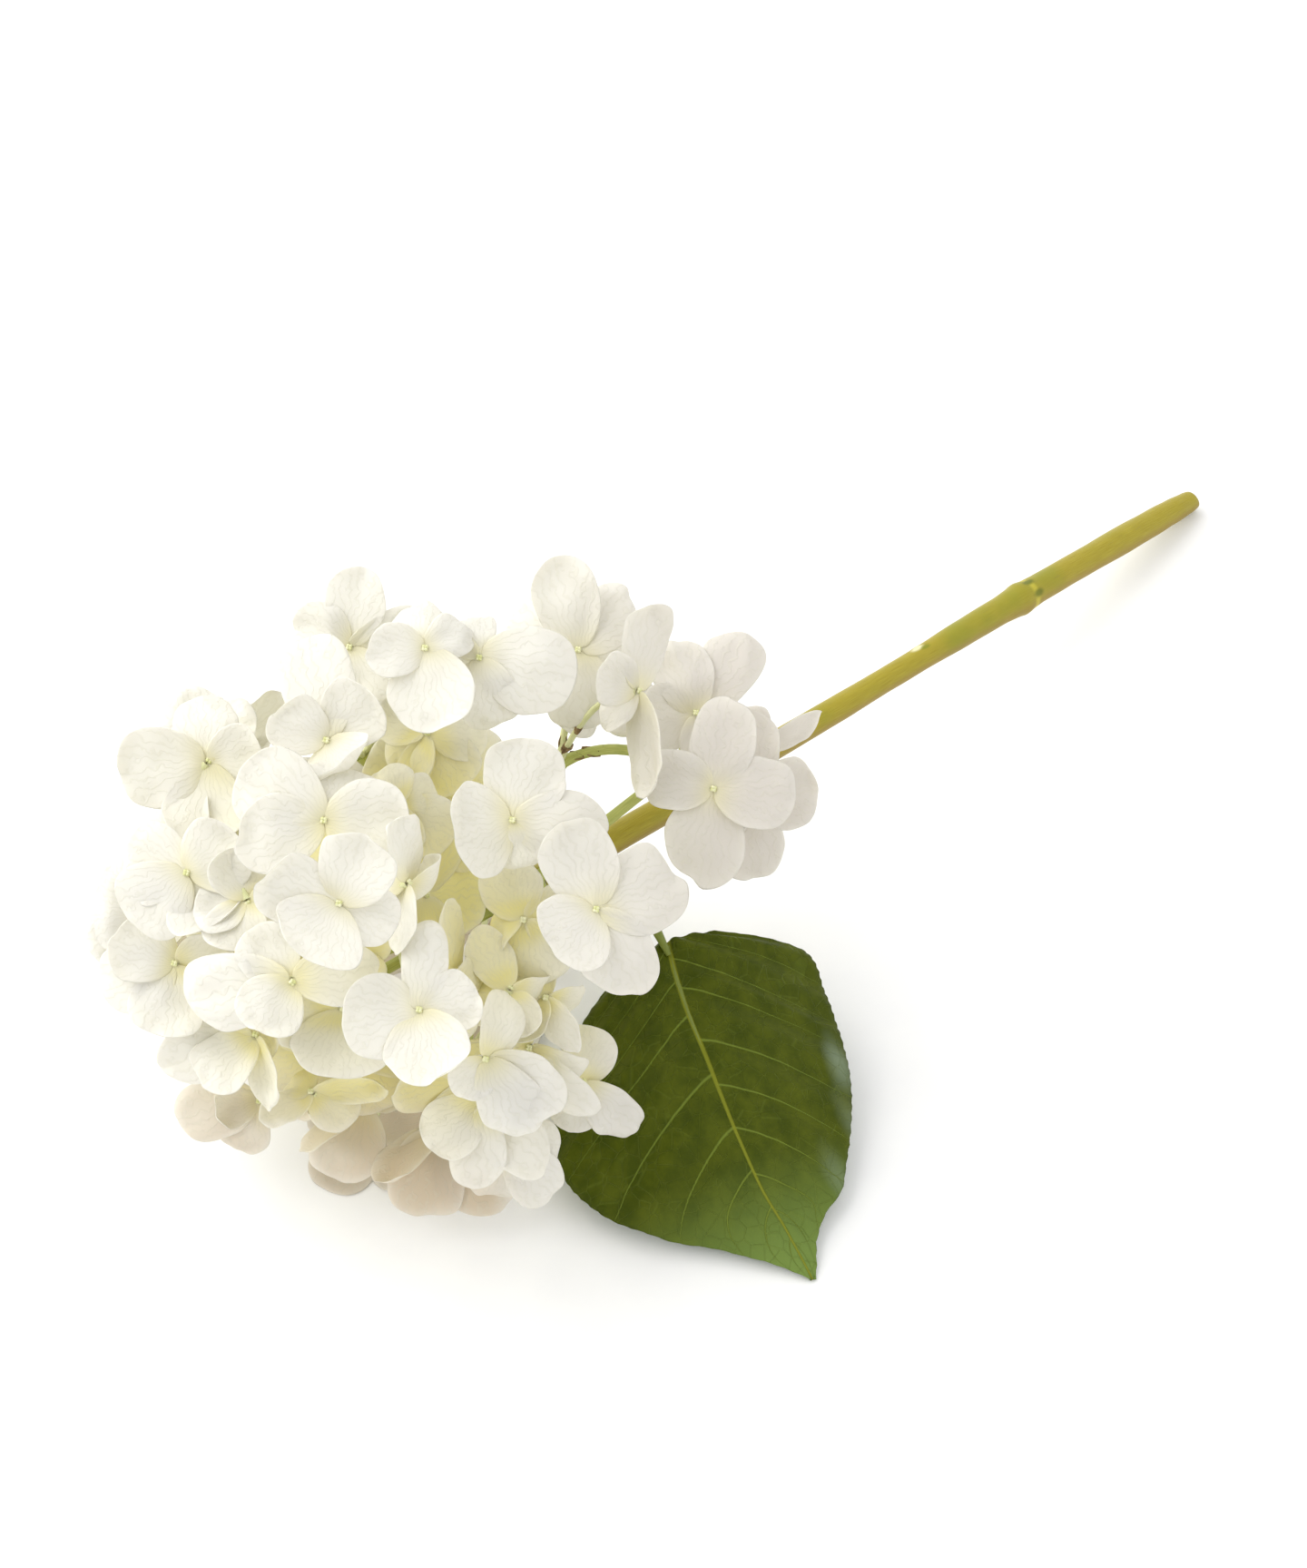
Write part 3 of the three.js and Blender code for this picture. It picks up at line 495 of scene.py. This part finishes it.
bm = bmesh.new()
bm.loops.layers.uv.new("UVMap")
petiole_path = smooth_path([from_head(place) for place in PETIOLE])
tube(bm, petiole_path, lambda share, angle: (1.75 - 1.1 * share ** 3) * MM, 16, 12, Vector((1, 0, 0)))
rib_path = smooth_path([
    blade_point(share, 0.0)[0] - Vector((0, 0, 0.9 * MM)) for share in (0.03, 0.2, 0.4, 0.6, 0.8, 0.95)
])
tube(bm, rib_path, lambda share, angle: (1.25 - 0.95 * share) * MM, 30, 8, Vector((1, 0, 0)))
for vert in bm.verts:
    vert.co.z = max(vert.co.z, 0.1 * MM)
petiole = object_from(bm, "petiole_and_rib", stalk_green)
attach(petiole, "root")
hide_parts("leaf")

# ---------------------------------------------------------------- florets
# Each floret is four papery sepals, thin as tissue, round, overlapping and a little cupped,
# spread round a bud no bigger than a pinhead. They fade from cream to green at the claw.

# The good side: a floret's middle, then each sepal's tip from there, its width and its roll.
BLOOMS = [
    ((48, 7, 54), (-7, 21, 4, 18, 0), (19, 7, -6, 21, 0), (9, -20, -6, 18, 0), (-10, -10, 2, 20, 0)),
    ((29, 27, 50), (5, 19, 3, 20, 0), (21, -3, -4, 17, 0), (1, -12, -2, 15, 0), (-13, -4, 8, 23, 0)),
    ((31, 4, 37), (-5, 13, 2, 15, 0), (11, 0, -8, 16, 0), (6, -16, -3, 16, 0), (-9, -6, -6, 12, 50)),
    ((75, 34, 14), (4, 20, 2, 16, 0), (20, -2, -2, 18, 0), (-4, -22, -3, 20, 0), (-16, 4, 0, 15, 0)),
    ((85, 32, -3), (16, 1, -2, 18, 0), (-1, -20, -4, 16, 0), (-1, 22, -4, 14, 0), (-13, -6, -2, 14, 0)),
    ((71, 52, 0), (14, 20, -6, 15, 0), (-5, 17, -4, 15, 0), (-13, -2, 2, 17, 0), (6, -13, 2, 15, 0)),
    ((57, 57, 17), (5, 21, 0, 15, 45), (-10, 5, 6, 13, 0), (2, -26, 0, 17, 62), (-9, -8, -4, 10, 30)),
    ((43, 67, 8), (-5, 22, 2, 16, 0), (12, 14, -4, 16, 0), (1, -19, -6, 17, 0), (-18, 9, -8, 14, 0)),
    ((21, 64, 40), (21, -5, -2, 21, 0), (4, -16, -6, 15, 0), (-12, 1, 4, 14, 0), (-5, 9, -10, 14, 20)),
    ((9, 66, 46), (3, -19, 5, 21, 0), (-13, -1, 2, 13, 0), (-4, 11, -8, 13, 0), (10, 5, -6, 11, 0)),
    ((-13, 45, 49), (11, 11, 4, 17, 0), (-12, 6, 2, 14, 0), (4, -7, 8, 19, 0), (-4, 24, -6, 18, 0)),
    ((-10, 67, 24), (3, 19, 0, 15, 0), (-13, 5, 0, 17, 0), (19, 7, -6, 12, 40), (3, -16, 2, 17, 0)),
    ((-43, 40, 26), (-1, 16, -6, 15, 0), (-20, -2, 2, 19, 0), (13, 3, 2, 15, 0), (-1, -20, 8, 20, 0)),
    ((-45, 15, 47), (-15, 4, -3, 20, 0), (13, 8, 2, 19, 0), (8, -12, 4, 20, 0), (-14, -12, -4, 19, 0)),
    ((-8, 9, 76), (-17, 5, 4, 16, 0), (8, 15, 5, 18, 0), (12, -5, -2, 14, 0), (-8, -12, 7, 22, 0)),
    ((-13, 27, 57), (-19, -5, 2, 18, 0), (-20, 11, -2, 20, 0), (3, 13, -6, 20, 0), (19, 0, 0, 20, 0)),
    ((9, -15, 68), (-17, -2, 2, 20, 0), (4, -16, 6, 20, 0), (14, 3, -3, 14, 0), (2, 21, -8, 11, 0)),
    ((23, -27, 50), (16, -13, -4, 17, 0), (10, -19, -10, 15, 0), (-6, -9, 0, 11, 0), (5, 15, -6, 12, 30)),
    ((21, -38, 34), (-12, -11, 2, 15, 0), (-1, -21, -6, 14, 0), (15, -17, -3, 15, 0), (3, 11, 2, 12, 0)),
    ((9, -47, 0), (-4, -22, -3, 19, 0), (-13, -14, 5, 13, 45), (17, -22, -8, 20, 0), (4, 13, 0, 12, 0)),
    ((-9, -41, 0), (-6, -19, -3, 18, 0), (-12, -5, 8, 9, 55), (-14, -12, 2, 10, 55), (9, 5, 0, 12, 0)),
    ((-34, -41, -4), (-21, -4, -2, 16, 0), (-11, -3, 6, 10, 0), (-7, -13, -6, 14, 0), (14, -1, 4, 9, 30)),
    ((-49, -6, 36), (-17, -6, -3, 18, 0), (-3, -17, 0, 18, 0), (15, 1, 4, 15, 30), (-14, 6, 0, 16, 0)),
    ((-58, 6, 27), (-12, -1, -2, 18, 0), (-9, -14, -4, 16, 0), (-4, 15, -4, 16, 0), (11, -7, 6, 16, 0)),
    ((-31, -23, 34), (-23, -7, -4, 14, 0), (-12, -11, 2, 15, 20), (5, -18, 3, 11, 50), (-18, 0, -6, 14, 20)),
    ((28, -12, 40), (-8, 15, 0, 11, 20), (4, -11, 2, 11, 0), (8, -2, -8, 12, 30), (-9, -5, -8, 12, 30)),
    ((-10, -16, 44), (0, -15, 4, 24, 0), (-13, -9, 0, 17, 0), (14, -8, 0, 16, 0), (4, 14, -6, 15, 0)),
    ((36, -14, 34), (7, -13, 0, 9, 30), (-6, -11, 0, 10, 30), (8, -3, -10, 12, 30), (-5, 8, -6, 10, 30)),
    ((-20, -9, 58), (-26, -4, -8, 18, 0), (20, 3, -4, 15, 0), (-10, 11, -2, 14, 0), (-9, -11, 2, 16, 0)),
    ((3, 30, 40), (9, 2, -3, 14, 0), (-6, 8, -4, 15, 0), (12, -8, -4, 15, 0), (-2, -11, -2, 14, 0)),
    ((8, 47, 24), (5, -15, -2, 21, 0), (14, 2, -8, 17, 0), (-11, 8, 0, 16, 0), (-7, -9, -4, 15, 20)),
    ((32, -26, 28), (15, -18, -8, 12, 30), (12, -8, -8, 12, 30), (-3, -12, -4, 10, 30), (-5, 5, 0, 10, 30)),
    ((44, -36, 6), (13, -14, -8, 12, 0), (2, 14, -6, 15, 20), (-3, -13, -4, 12, 0), (-9, 2, -4, 12, 0)),
    ((15, -12, 42), (0, 22, 0, 10, 55), (-6, 8, -6, 10, 20), (6, 6, -6, 10, 40), (1, -12, 0, 12, 20)),
    ((87, 43, -14), (15, 9, 0, 15, 62), (5, -12, -6, 12, 30), (-8, -4, -6, 12, 0), (-5, 11, -8, 12, 0)),
    ((6, 13, 62), (1, 16, 0, 16, 64), (-2, -16, 0, 16, 62), (4, 2, -12, 14, 60), (-7, 2, -10, 12, 0)),
    ((27, -50, 12), (10, -14, -6, 14, 0), (-7, -13, -6, 15, 0), (12, -1, -4, 14, 0), (-5, 11, 2, 14, 0)),
    ((-19, -37, 20), (-12, -6, 2, 9, 30), (18, 2, 2, 9, 30), (-4, 4, -6, 12, 0), (9, -7, -4, 12, 0)),
    ((-31, 9, 50), (-4, 12, 0, 15, 20), (-3, -12, 2, 16, 20), (-12, -2, 0, 15, 30), (11, -4, -6, 15, 0)),
]
# Florets between them: middle, lean off facing outward and toward which side, turn, size.
FILLERS = [
    (46, 62, -12, 30, 20, 50, 19),
    (7, 9, 14, 50, 0, 0, 20),
    (-46, 46, 8, 30, 100, 15, 14),
    (9, 32, 8, 20, 0, -45, 20),
    (-28, 18, 28, 30, 150, 10, 22),
    (-52, 24, 16, 55, 160, 0, 17),
    (-36, -10, 24, 45, -160, 30, 21),
    (-16, -4, 32, 30, -120, 45, 21),
    (-14, -28, 14, 45, -100, 20, 21),
    (18, -34, 14, 50, -75, 0, 20),
]
FILLER_CUP = 2
# Florets under the head, pressed flat by its weight: x and y from its centre, turn, size.
PRESSED = [(-19, -6, 0, 18), (-8, 24, 40, 21), (24, 2, 75, 19)]
# Florets of the hidden side, facing straight away from the centre: place, turn, size.
BACK = [
    (-3, 61, -20, 10, 22), (-44, 40, -25, 40, 21), (-63, -1, -13, 70, 22), (2, 41, -50, 20, 23),
    (-35, 16, -51, 55, 21), (22, 8, -59, 30, 22), (-17, 27, -53, 0, 20), (-5, 3, -62, 65, 21),
    (-47, -17, -37, 25, 22),
]
BACK_CUP = 3
SEPAL_THICKNESS = 0.35
SEPAL_WIDEST = 0.56


def sepal(ahead, facing, width, belly, trough):
    """The measures of one sepal: the way to its tip, which way it faces and its bends."""
    return {"ahead": ahead, "facing": facing, "width": width, "belly": belly, "trough": trough}


def even_floret(centre, normal, turn, size, cup, reference, draw):
    """A floret with four even sepals, swung from a reference and turned about its normal."""
    swing = reference[2].rotation_difference(normal)
    swing = Quaternion(normal, math.radians(turn)) @ swing
    sepals = []
    for quarter in range(4):
        angle = math.pi / 2 * quarter + math.radians(draw.uniform(-7, 7))
        ahead = swing @ (reference[0] * math.cos(angle) + reference[1] * math.sin(angle))
        length = size * draw.uniform(0.94, 1.05) * MM
        lifted = ahead * length + normal * cup * MM
        width = size * draw.uniform(0.98, 1.1) * MM
        belly = draw.uniform(-1.5, 1.0) * MM
        trough = draw.uniform(-1.0, 2.0) * MM
        sepals.append(sepal(lifted, normal, width, belly, trough))
    return {"centre": centre, "normal": normal, "sepals": sepals}


def shaped_floret(middle, tips, draw):
    """A floret whose four sepals are laid out one by one."""
    sepals = []
    for across, up, out, width, roll in tips:
        ahead = face_direction(across, up, out) * MM
        facing = Quaternion(ahead.normalized(), math.radians(roll)) @ OUT
        belly = (0.25 * out + draw.uniform(-1.2, 0.8)) * MM
        trough = (0.35 * out + draw.uniform(-0.6, 1.2)) * MM
        sepals.append(sepal(ahead, facing, width * MM, belly, trough))
    lift = sum((one["ahead"].cross(two["ahead"]) for one, two in zip(sepals, sepals[1:])), Vector())
    normal = lift.normalized() if lift.dot(OUT) > 0 else OUT
    return {"centre": face_point(*middle), "normal": normal, "sepals": sepals}


def all_florets(draw):
    """The florets of the good side, the ones pressed on the table, and the hidden side's."""
    face = (ACROSS, UP, OUT)
    made = [shaped_floret(middle, tips, draw) for middle, *tips in BLOOMS]
    for across, up, out, lean, toward, turn, size in FILLERS:
        lean, toward = math.radians(lean), math.radians(toward)
        normal = face_direction(
            math.sin(lean) * math.cos(toward), math.sin(lean) * math.sin(toward), math.cos(lean),
        )
        centre = face_point(across, up, out)
        made.append(even_floret(centre, normal, turn, size, FILLER_CUP, face, draw))
    ground = (Vector((1, 0, 0)), Vector((0, -1, 0)), Vector((0, 0, -1)))
    for x, y, turn, size in PRESSED:
        centre = from_head((x, y, 0.4 - HEAD_CENTRE.z / MM))
        made.append(even_floret(centre, Vector((0, 0, -1)), turn, size, 0, ground, draw))
    for across, up, out, turn, size in BACK:
        centre, normal = face_point(across, up, out), face_direction(across, up, out).normalized()
        made.append(even_floret(centre, normal, turn, size, BACK_CUP, face, draw))
    return made


def clamped(value):
    """A value held between 0 and 1."""
    return max(0.0, min(1.0, value))


def half_width(share):
    """Half a sepal's width at a share of its length, as a share of its widest."""
    if share > SEPAL_WIDEST:
        return math.sqrt(max(0.0, 1 - ((share - SEPAL_WIDEST) / (1 - SEPAL_WIDEST)) ** 2.2))
    return 0.2 + 0.8 * math.sin(math.pi / 2 * share / SEPAL_WIDEST) ** 0.65


def add_sepal(bm, layers, centre, one, upper, draw):
    """One sepal, bent from a small grid, with its UV along and across it and its tints."""
    uv, tint_and_painted_light = layers
    length = one["ahead"].length
    ahead = one["ahead"].normalized()
    normal = (one["facing"] - ahead * one["facing"].dot(ahead)).normalized()
    aside = normal.cross(ahead)
    crease = draw.uniform(0.0, 0.6) * MM
    ruffle = draw.uniform(0.7, 1.7) * MM
    stack = (0.45 if upper else -0.45) * MM
    lean = draw.uniform(-0.6, 0.6) * MM
    seed = draw.uniform(0, 50)
    grid = bmesh.ops.create_grid(bm, x_segments=10, y_segments=9, size=1)["verts"]
    marks = {}
    for vert in grid:
        x = vert.co.x * math.sqrt(1 - vert.co.y ** 2 / 2)
        y = vert.co.y * math.sqrt(1 - vert.co.x ** 2 / 2)
        share = (x + 1) / 2
        t = y / max(math.sqrt(max(1 - x * x, 0.0)), 1e-3)
        edge = max(abs(t), 2 * abs(share - 0.5))
        wavy = 1 + 0.13 * edge ** 3 * noise.noise(Vector((share * 3.1, t * 2.3, seed + 7)))
        side = half_width(share) * one["width"] / 2 * t * wavy
        reach = share * length * wavy
        rise = -one["belly"] * 4 * share * (1 - share) + one["trough"] * t * t * share
        rise += ruffle * noise.noise(Vector((share * 2.4, t * 1.6, seed))) * share * 2
        rise += stack * min(1.0, share * 4) + lean * t - crease * bell(t, 0.3) * share
        rim = min(1.0, math.hypot(x, y))
        rise += 1.3 * MM * rim ** 4 * share * noise.noise(Vector((x * 2.6, y * 2.6, seed + 20)))
        place = centre + ahead * reach + aside * side + normal * rise
        place.z = max(place.z, 0.3 * MM)
        vert.co = place
        # The tints: green at the claw; deep in the head more of the same green as painted shade; painted
        # shade as taupe low down and as a darker grey toward the stem; a painted highlight at the rim.
        depth = (place - HEAD_CENTRE).length / MM
        # Partly painted shade: more green the deeper in the head, plus a little at random per sepal; the
        # claw's green below is its own colour.
        green = clamped((67 - depth) / 28) * 0.95 + 0.16 * seed / 50
        green += 0.8 * max(0.0, 1 - share / 0.45) ** 1.4
        to_right = (place - HEAD_CENTRE).dot(ACROSS) / MM
        # Painted shade: taupe low down on the head.
        low = clamped((72 - place.z / MM) / 48) * clamped((36 - to_right) / 15)
        # Painted shade: darker toward the stem, on the side away from the key light.
        painted_shade_right = clamped((to_right - 15) / 60)
        marks[vert] = ((share, side / length + 0.5), (min(green, 1.0), low, painted_shade_right, rim ** 6))
    for vert in grid:
        for loop in vert.link_loops:
            loop[uv].uv, loop[tint_and_painted_light] = marks[vert]


sepal_white, tree, shader = new_material("sepal")
uv = node(tree, "UVMap", uv_map="UVMap").outputs["UV"]
split = node(tree, "SeparateXYZ", {0: uv})
share, side = split.outputs["X"], calc(tree, "SUBTRACT", split.outputs["Y"], 0.5)
tint_and_painted_light = node(tree, "VertexColor", layer_name="tint_and_painted_light")
green, low, painted_shade_right = node(tree, "SeparateColor", {0: tint_and_painted_light.outputs["Color"]}).outputs
fan = calc(tree, "ARCTAN2", side, calc(tree, "ADD", share, 0.12))
where = node(tree, "TexCoord").outputs["Object"]
drift = calc(tree, "MULTIPLY", speckle(tree, uv, 7, 2), 0.35)
wave = calc(tree, "SINE", calc(tree, "MULTIPLY", calc(tree, "ADD", fan, drift), 46.0))
veins = fade(tree, wave, 0.55, 1.0)
mottle = speckle(tree, where, 170, 4)
colour = blend(tree, fade(tree, mottle, 0.3, 0.7), (0.91, 0.90, 0.86, 1), (0.95, 0.94, 0.91, 1))
# Painted shade: darker grey toward the stem, away from the key light.
colour = blend(tree, painted_shade_right, colour, (0.79, 0.755, 0.72, 1))
# Green at the claw, its own colour, and deep in the head as painted shade.
colour = blend(tree, green, colour, (0.93, 0.87, 0.42, 1))
# Painted shade: taupe low down, broken up by noise.
drift = node(tree, "MapRange", {"Value": speckle(tree, where, 38, 2), "To Min": 0.1, "To Max": 1.6})
low = calc(tree, "MINIMUM", calc(tree, "MULTIPLY", low, drift.outputs["Result"]), 1.0)
colour = blend(tree, calc(tree, "MULTIPLY", low, 0.9), colour, (0.73, 0.615, 0.46, 1))
colour = blend(tree, calc(tree, "MULTIPLY", veins, 0.22), colour, (0.78, 0.77, 0.66, 1))
# Painted highlight: lighter along each sepal's rim.
colour = blend(tree, calc(tree, "MULTIPLY", tint_and_painted_light.outputs["Alpha"], 0.45), colour, (0.95, 0.93, 0.88, 1))
tree.links.new(colour, shader.inputs["Base Color"])
shader.inputs["Roughness"].default_value = 0.55
shader.inputs["Specular IOR Level"].default_value = 0.25
bump(tree, shader, calc(tree, "ADD", veins, mottle), 0.00025, 0.42)
glow = node(tree, "BsdfTranslucent", {"Color": blend(tree, 0.5, colour, (0.97, 0.94, 0.77, 1))})
both = node(tree, "MixShader", {0: 0.35, 1: shader.outputs[0], 2: glow.outputs[0]})
tree.links.new(both.outputs[0], tree.nodes["Material Output"].inputs["Surface"])

draw = random.Random(11)
florets = all_florets(draw)


def region(one):
    """Which part of the head a floret belongs to."""
    off = one["centre"] - HEAD_CENTRE
    if off.dot(OUT) < 0:
        return "hidden"
    if off.dot(ACROSS) > 40 * MM:
        return "right"
    return "upper" if off.dot(UP) > 0 else "lower"


for part_name in ("upper", "lower", "right", "hidden"):
    bm = bmesh.new()
    layers = (bm.loops.layers.uv.new("UVMap"), bm.loops.layers.color.new("tint_and_painted_light"))
    for one in florets:
        if region(one) == part_name:
            for i, measures in enumerate(one["sepals"]):
                add_sepal(bm, layers, one["centre"], measures, i % 2 == 1, draw)
    sepals = object_from(bm, f"sepals_{part_name}", sepal_white)
    skin = sepals.modifiers.new("thickness", "SOLIDIFY")
    skin.thickness = SEPAL_THICKNESS * MM
    skin.offset = 0
    rounding = sepals.modifiers.new("rounding", "SUBSURF")
    rounding.levels = rounding.render_levels = 1
    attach(sepals, "root")
    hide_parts("flower_head")

# ---------------------------------------------------------------- buds, pedicels and rays
# What carries the florets: thick green rays that fork off the top of the stem, a slim cream
# pedicel to each floret, and the floret's own bud, a few fused beads in the middle of it.

# Where the rays fork into pedicels, on the bloom's own axes.
FORKS = [
    (66, 39, -12), (38, 40, -10), (15, 45, -2), (-8, 42, 8), (-33, 27, 5), (-37, 4, 8), (-1, 8, 18),
    (-24, -21, -2), (3, -34, -6), (26, -21, 2), (33, 9, 15), (0, 38, -34), (-36, 20, -28),
    (-20, -12, -40), (14, -28, -34),
]


def bend(start, middle, end):
    """A curve from start to end that leans toward middle, as place and way."""
    def at(share):
        place = start * (1 - share) ** 2 + middle * (2 * share * (1 - share)) + end * share ** 2
        way = (middle - start) * (1 - share) + (end - middle) * share
        return place, way.normalized()
    return at


def stalk_material(name, low, high):
    """Smooth young stalk, streaked along its length."""
    made, tree, shader = new_material(name)
    uv = node(tree, "UVMap", uv_map="UVMap").outputs["UV"]
    lines = node(tree, "Mapping", {"Vector": uv, "Scale": (5, 20, 1)}).outputs["Vector"]
    fibres = speckle(tree, lines, 2, 3)
    tree.links.new(blend(tree, fade(tree, fibres, 0.3, 0.7), low, high), shader.inputs["Base Color"])
    shader.inputs["Roughness"].default_value = 0.5
    bump(tree, shader, fibres, 0.0001, 0.3)
    return made


ray_green = stalk_material("ray_green", (0.38, 0.42, 0.09, 1), (0.52, 0.54, 0.16, 1))
pedicel_cream = stalk_material("pedicel_cream", (0.58, 0.60, 0.28, 1), (0.74, 0.74, 0.46, 1))

stem_top, stem_way = stem_path(0.0)
knuckle = stem_top - stem_way * 4.5 * MM
root = knuckle - stem_way * MM
forks = [face_point(*fork) for fork in FORKS]

bm = bmesh.new()
bm.loops.layers.uv.new("UVMap")
for fork in forks:
    path = bend(root, root.lerp(fork, 0.45) - stem_way * 5 * MM, fork)
    across_way = (fork - root).orthogonal()
    tube(
        bm, path,
        lambda share, angle: (1.7 - 0.4 * share + 0.9 * bell(1 - share, 0.05)) * MM, 14, 10, across_way,
    )
side_ray = bend(forks[1], forks[1].lerp(forks[0], 0.5) + (UP * 8 + OUT * 5) * MM, forks[0])
tube(bm, side_ray, lambda share, angle: (1.3 + 0.4 * bell(share, 0.1)) * MM, 14, 10, UP)
top_path = smooth_path([knuckle - stem_way * 3 * MM, knuckle, stem_top - stem_way * 0.3 * MM])
tube(bm, top_path, lambda share, angle: (4.3 - 1.8 * (1 - share) ** 2) * MM, 10, 20, Vector((0, 1, 0)))
rays = object_from(bm, "rays", ray_green)
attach(rays, "root")
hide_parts("flower_head")

bm = bmesh.new()
bm.loops.layers.uv.new("UVMap")
pedicel_paths = []
for one in florets:
    foot = one["centre"] - one["normal"] * 13 * MM
    fork = min(forks, key=lambda place: (place - foot).length)
    across_way = (one["centre"] - fork).orthogonal()
    pedicel_paths.append(bend(fork, foot, one["centre"]))
    tube(
        bm, pedicel_paths[-1],
        lambda share, angle: (0.85 - 0.15 * share + 0.35 * bell(1 - share, 0.08)) * MM, 10, 8, across_way,
    )
pedicels = object_from(bm, "pedicels", pedicel_cream)
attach(pedicels, "root")
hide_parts("flower_head")

bud_green, tree, shader = new_material("bud")
where = node(tree, "TexCoord").outputs["Object"]
dots = speckle(tree, where, 900, 2)
colour = blend(tree, fade(tree, dots, 0.35, 0.65), (0.66, 0.68, 0.30, 1), (0.84, 0.83, 0.55, 1))
tree.links.new(colour, shader.inputs["Base Color"])
shader.inputs["Roughness"].default_value = 0.45
bump(tree, shader, dots, 0.0001, 0.5)

bm = bmesh.new()
for one in florets:
    if one["normal"].z < -0.99:
        continue
    for k in range(4):
        first = one["normal"].orthogonal().normalized()
        off = Quaternion(one["normal"], math.pi / 2 * k + 0.6) @ first * 0.42 * MM
        beads = bmesh.ops.create_icosphere(bm, subdivisions=1, radius=0.6 * MM)["verts"]
        bmesh.ops.translate(bm, verts=beads, vec=one["centre"] + off + one["normal"] * 0.7 * MM)
buds = object_from(bm, "floret_buds", bud_green)
rounding = buds.modifiers.new("rounding", "SUBSURF")
rounding.levels = rounding.render_levels = 1
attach(buds, "root")
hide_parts("flower_head")

# ---------------------------------------------------------------- withered scales
# A few bracts and spent petals have dried brown where the rays fork. Each is a crumpled scale a
# few millimetres long that still clings to its stalk.

withered_brown, tree, shader = new_material("withered")
where = node(tree, "TexCoord").outputs["Object"]
crumple = speckle(tree, where, 700, 4)
colour = blend(tree, fade(tree, crumple, 0.3, 0.7), (0.10, 0.055, 0.02, 1), (0.36, 0.25, 0.11, 1))
tree.links.new(colour, shader.inputs["Base Color"])
shader.inputs["Roughness"].default_value = 0.8
bump(tree, shader, crumple, 0.0003, 0.8)

# The stalk on which each scale sits, a floret's pedicel or, last, the ray that forks off sideways;
# how far along it is; its length in millimetres.
SCALES = [
    (6, 0.12, 5), (6, 0.3, 4), (7, 0.1, 4.5), (7, 0.25, 3.5), (29, 0.5, 4), (33, 0.5, 4), (35, 0.6, 5),
    (15, 0.5, 4), (27, 0.5, 3.5), (-1, 0.15, 4.5), (-1, 0.28, 5), (-1, 0.4, 4),
]

bm = bmesh.new()
for number, share, length in SCALES:
    place = [*pedicel_paths, side_ray][number](share)[0]
    patch = bmesh.ops.create_grid(bm, x_segments=6, y_segments=6, size=1)["verts"]
    ahead = Vector([draw.uniform(-1, 1) for _ in range(3)]).normalized()
    facing = (OUT - ahead * OUT.dot(ahead)).normalized()
    aside = facing.cross(ahead)
    seed = draw.uniform(0, 50)
    for vert in patch:
        x, y = vert.co.x, vert.co.y * (1 - 0.6 * vert.co.x ** 2)
        fold = noise.noise(Vector((x * 1.7, y * 1.7, seed))) + 0.5 * y * y
        vert.co = place + (ahead * x + aside * y * 0.45 + facing * fold * 0.5) * length / 2 * MM
scales = object_from(bm, "withered_scales", withered_brown)
skin = scales.modifiers.new("thickness", "SOLIDIFY")
skin.thickness = 0.3 * MM
skin.offset = 0
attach(scales, "root")
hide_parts("flower_head")
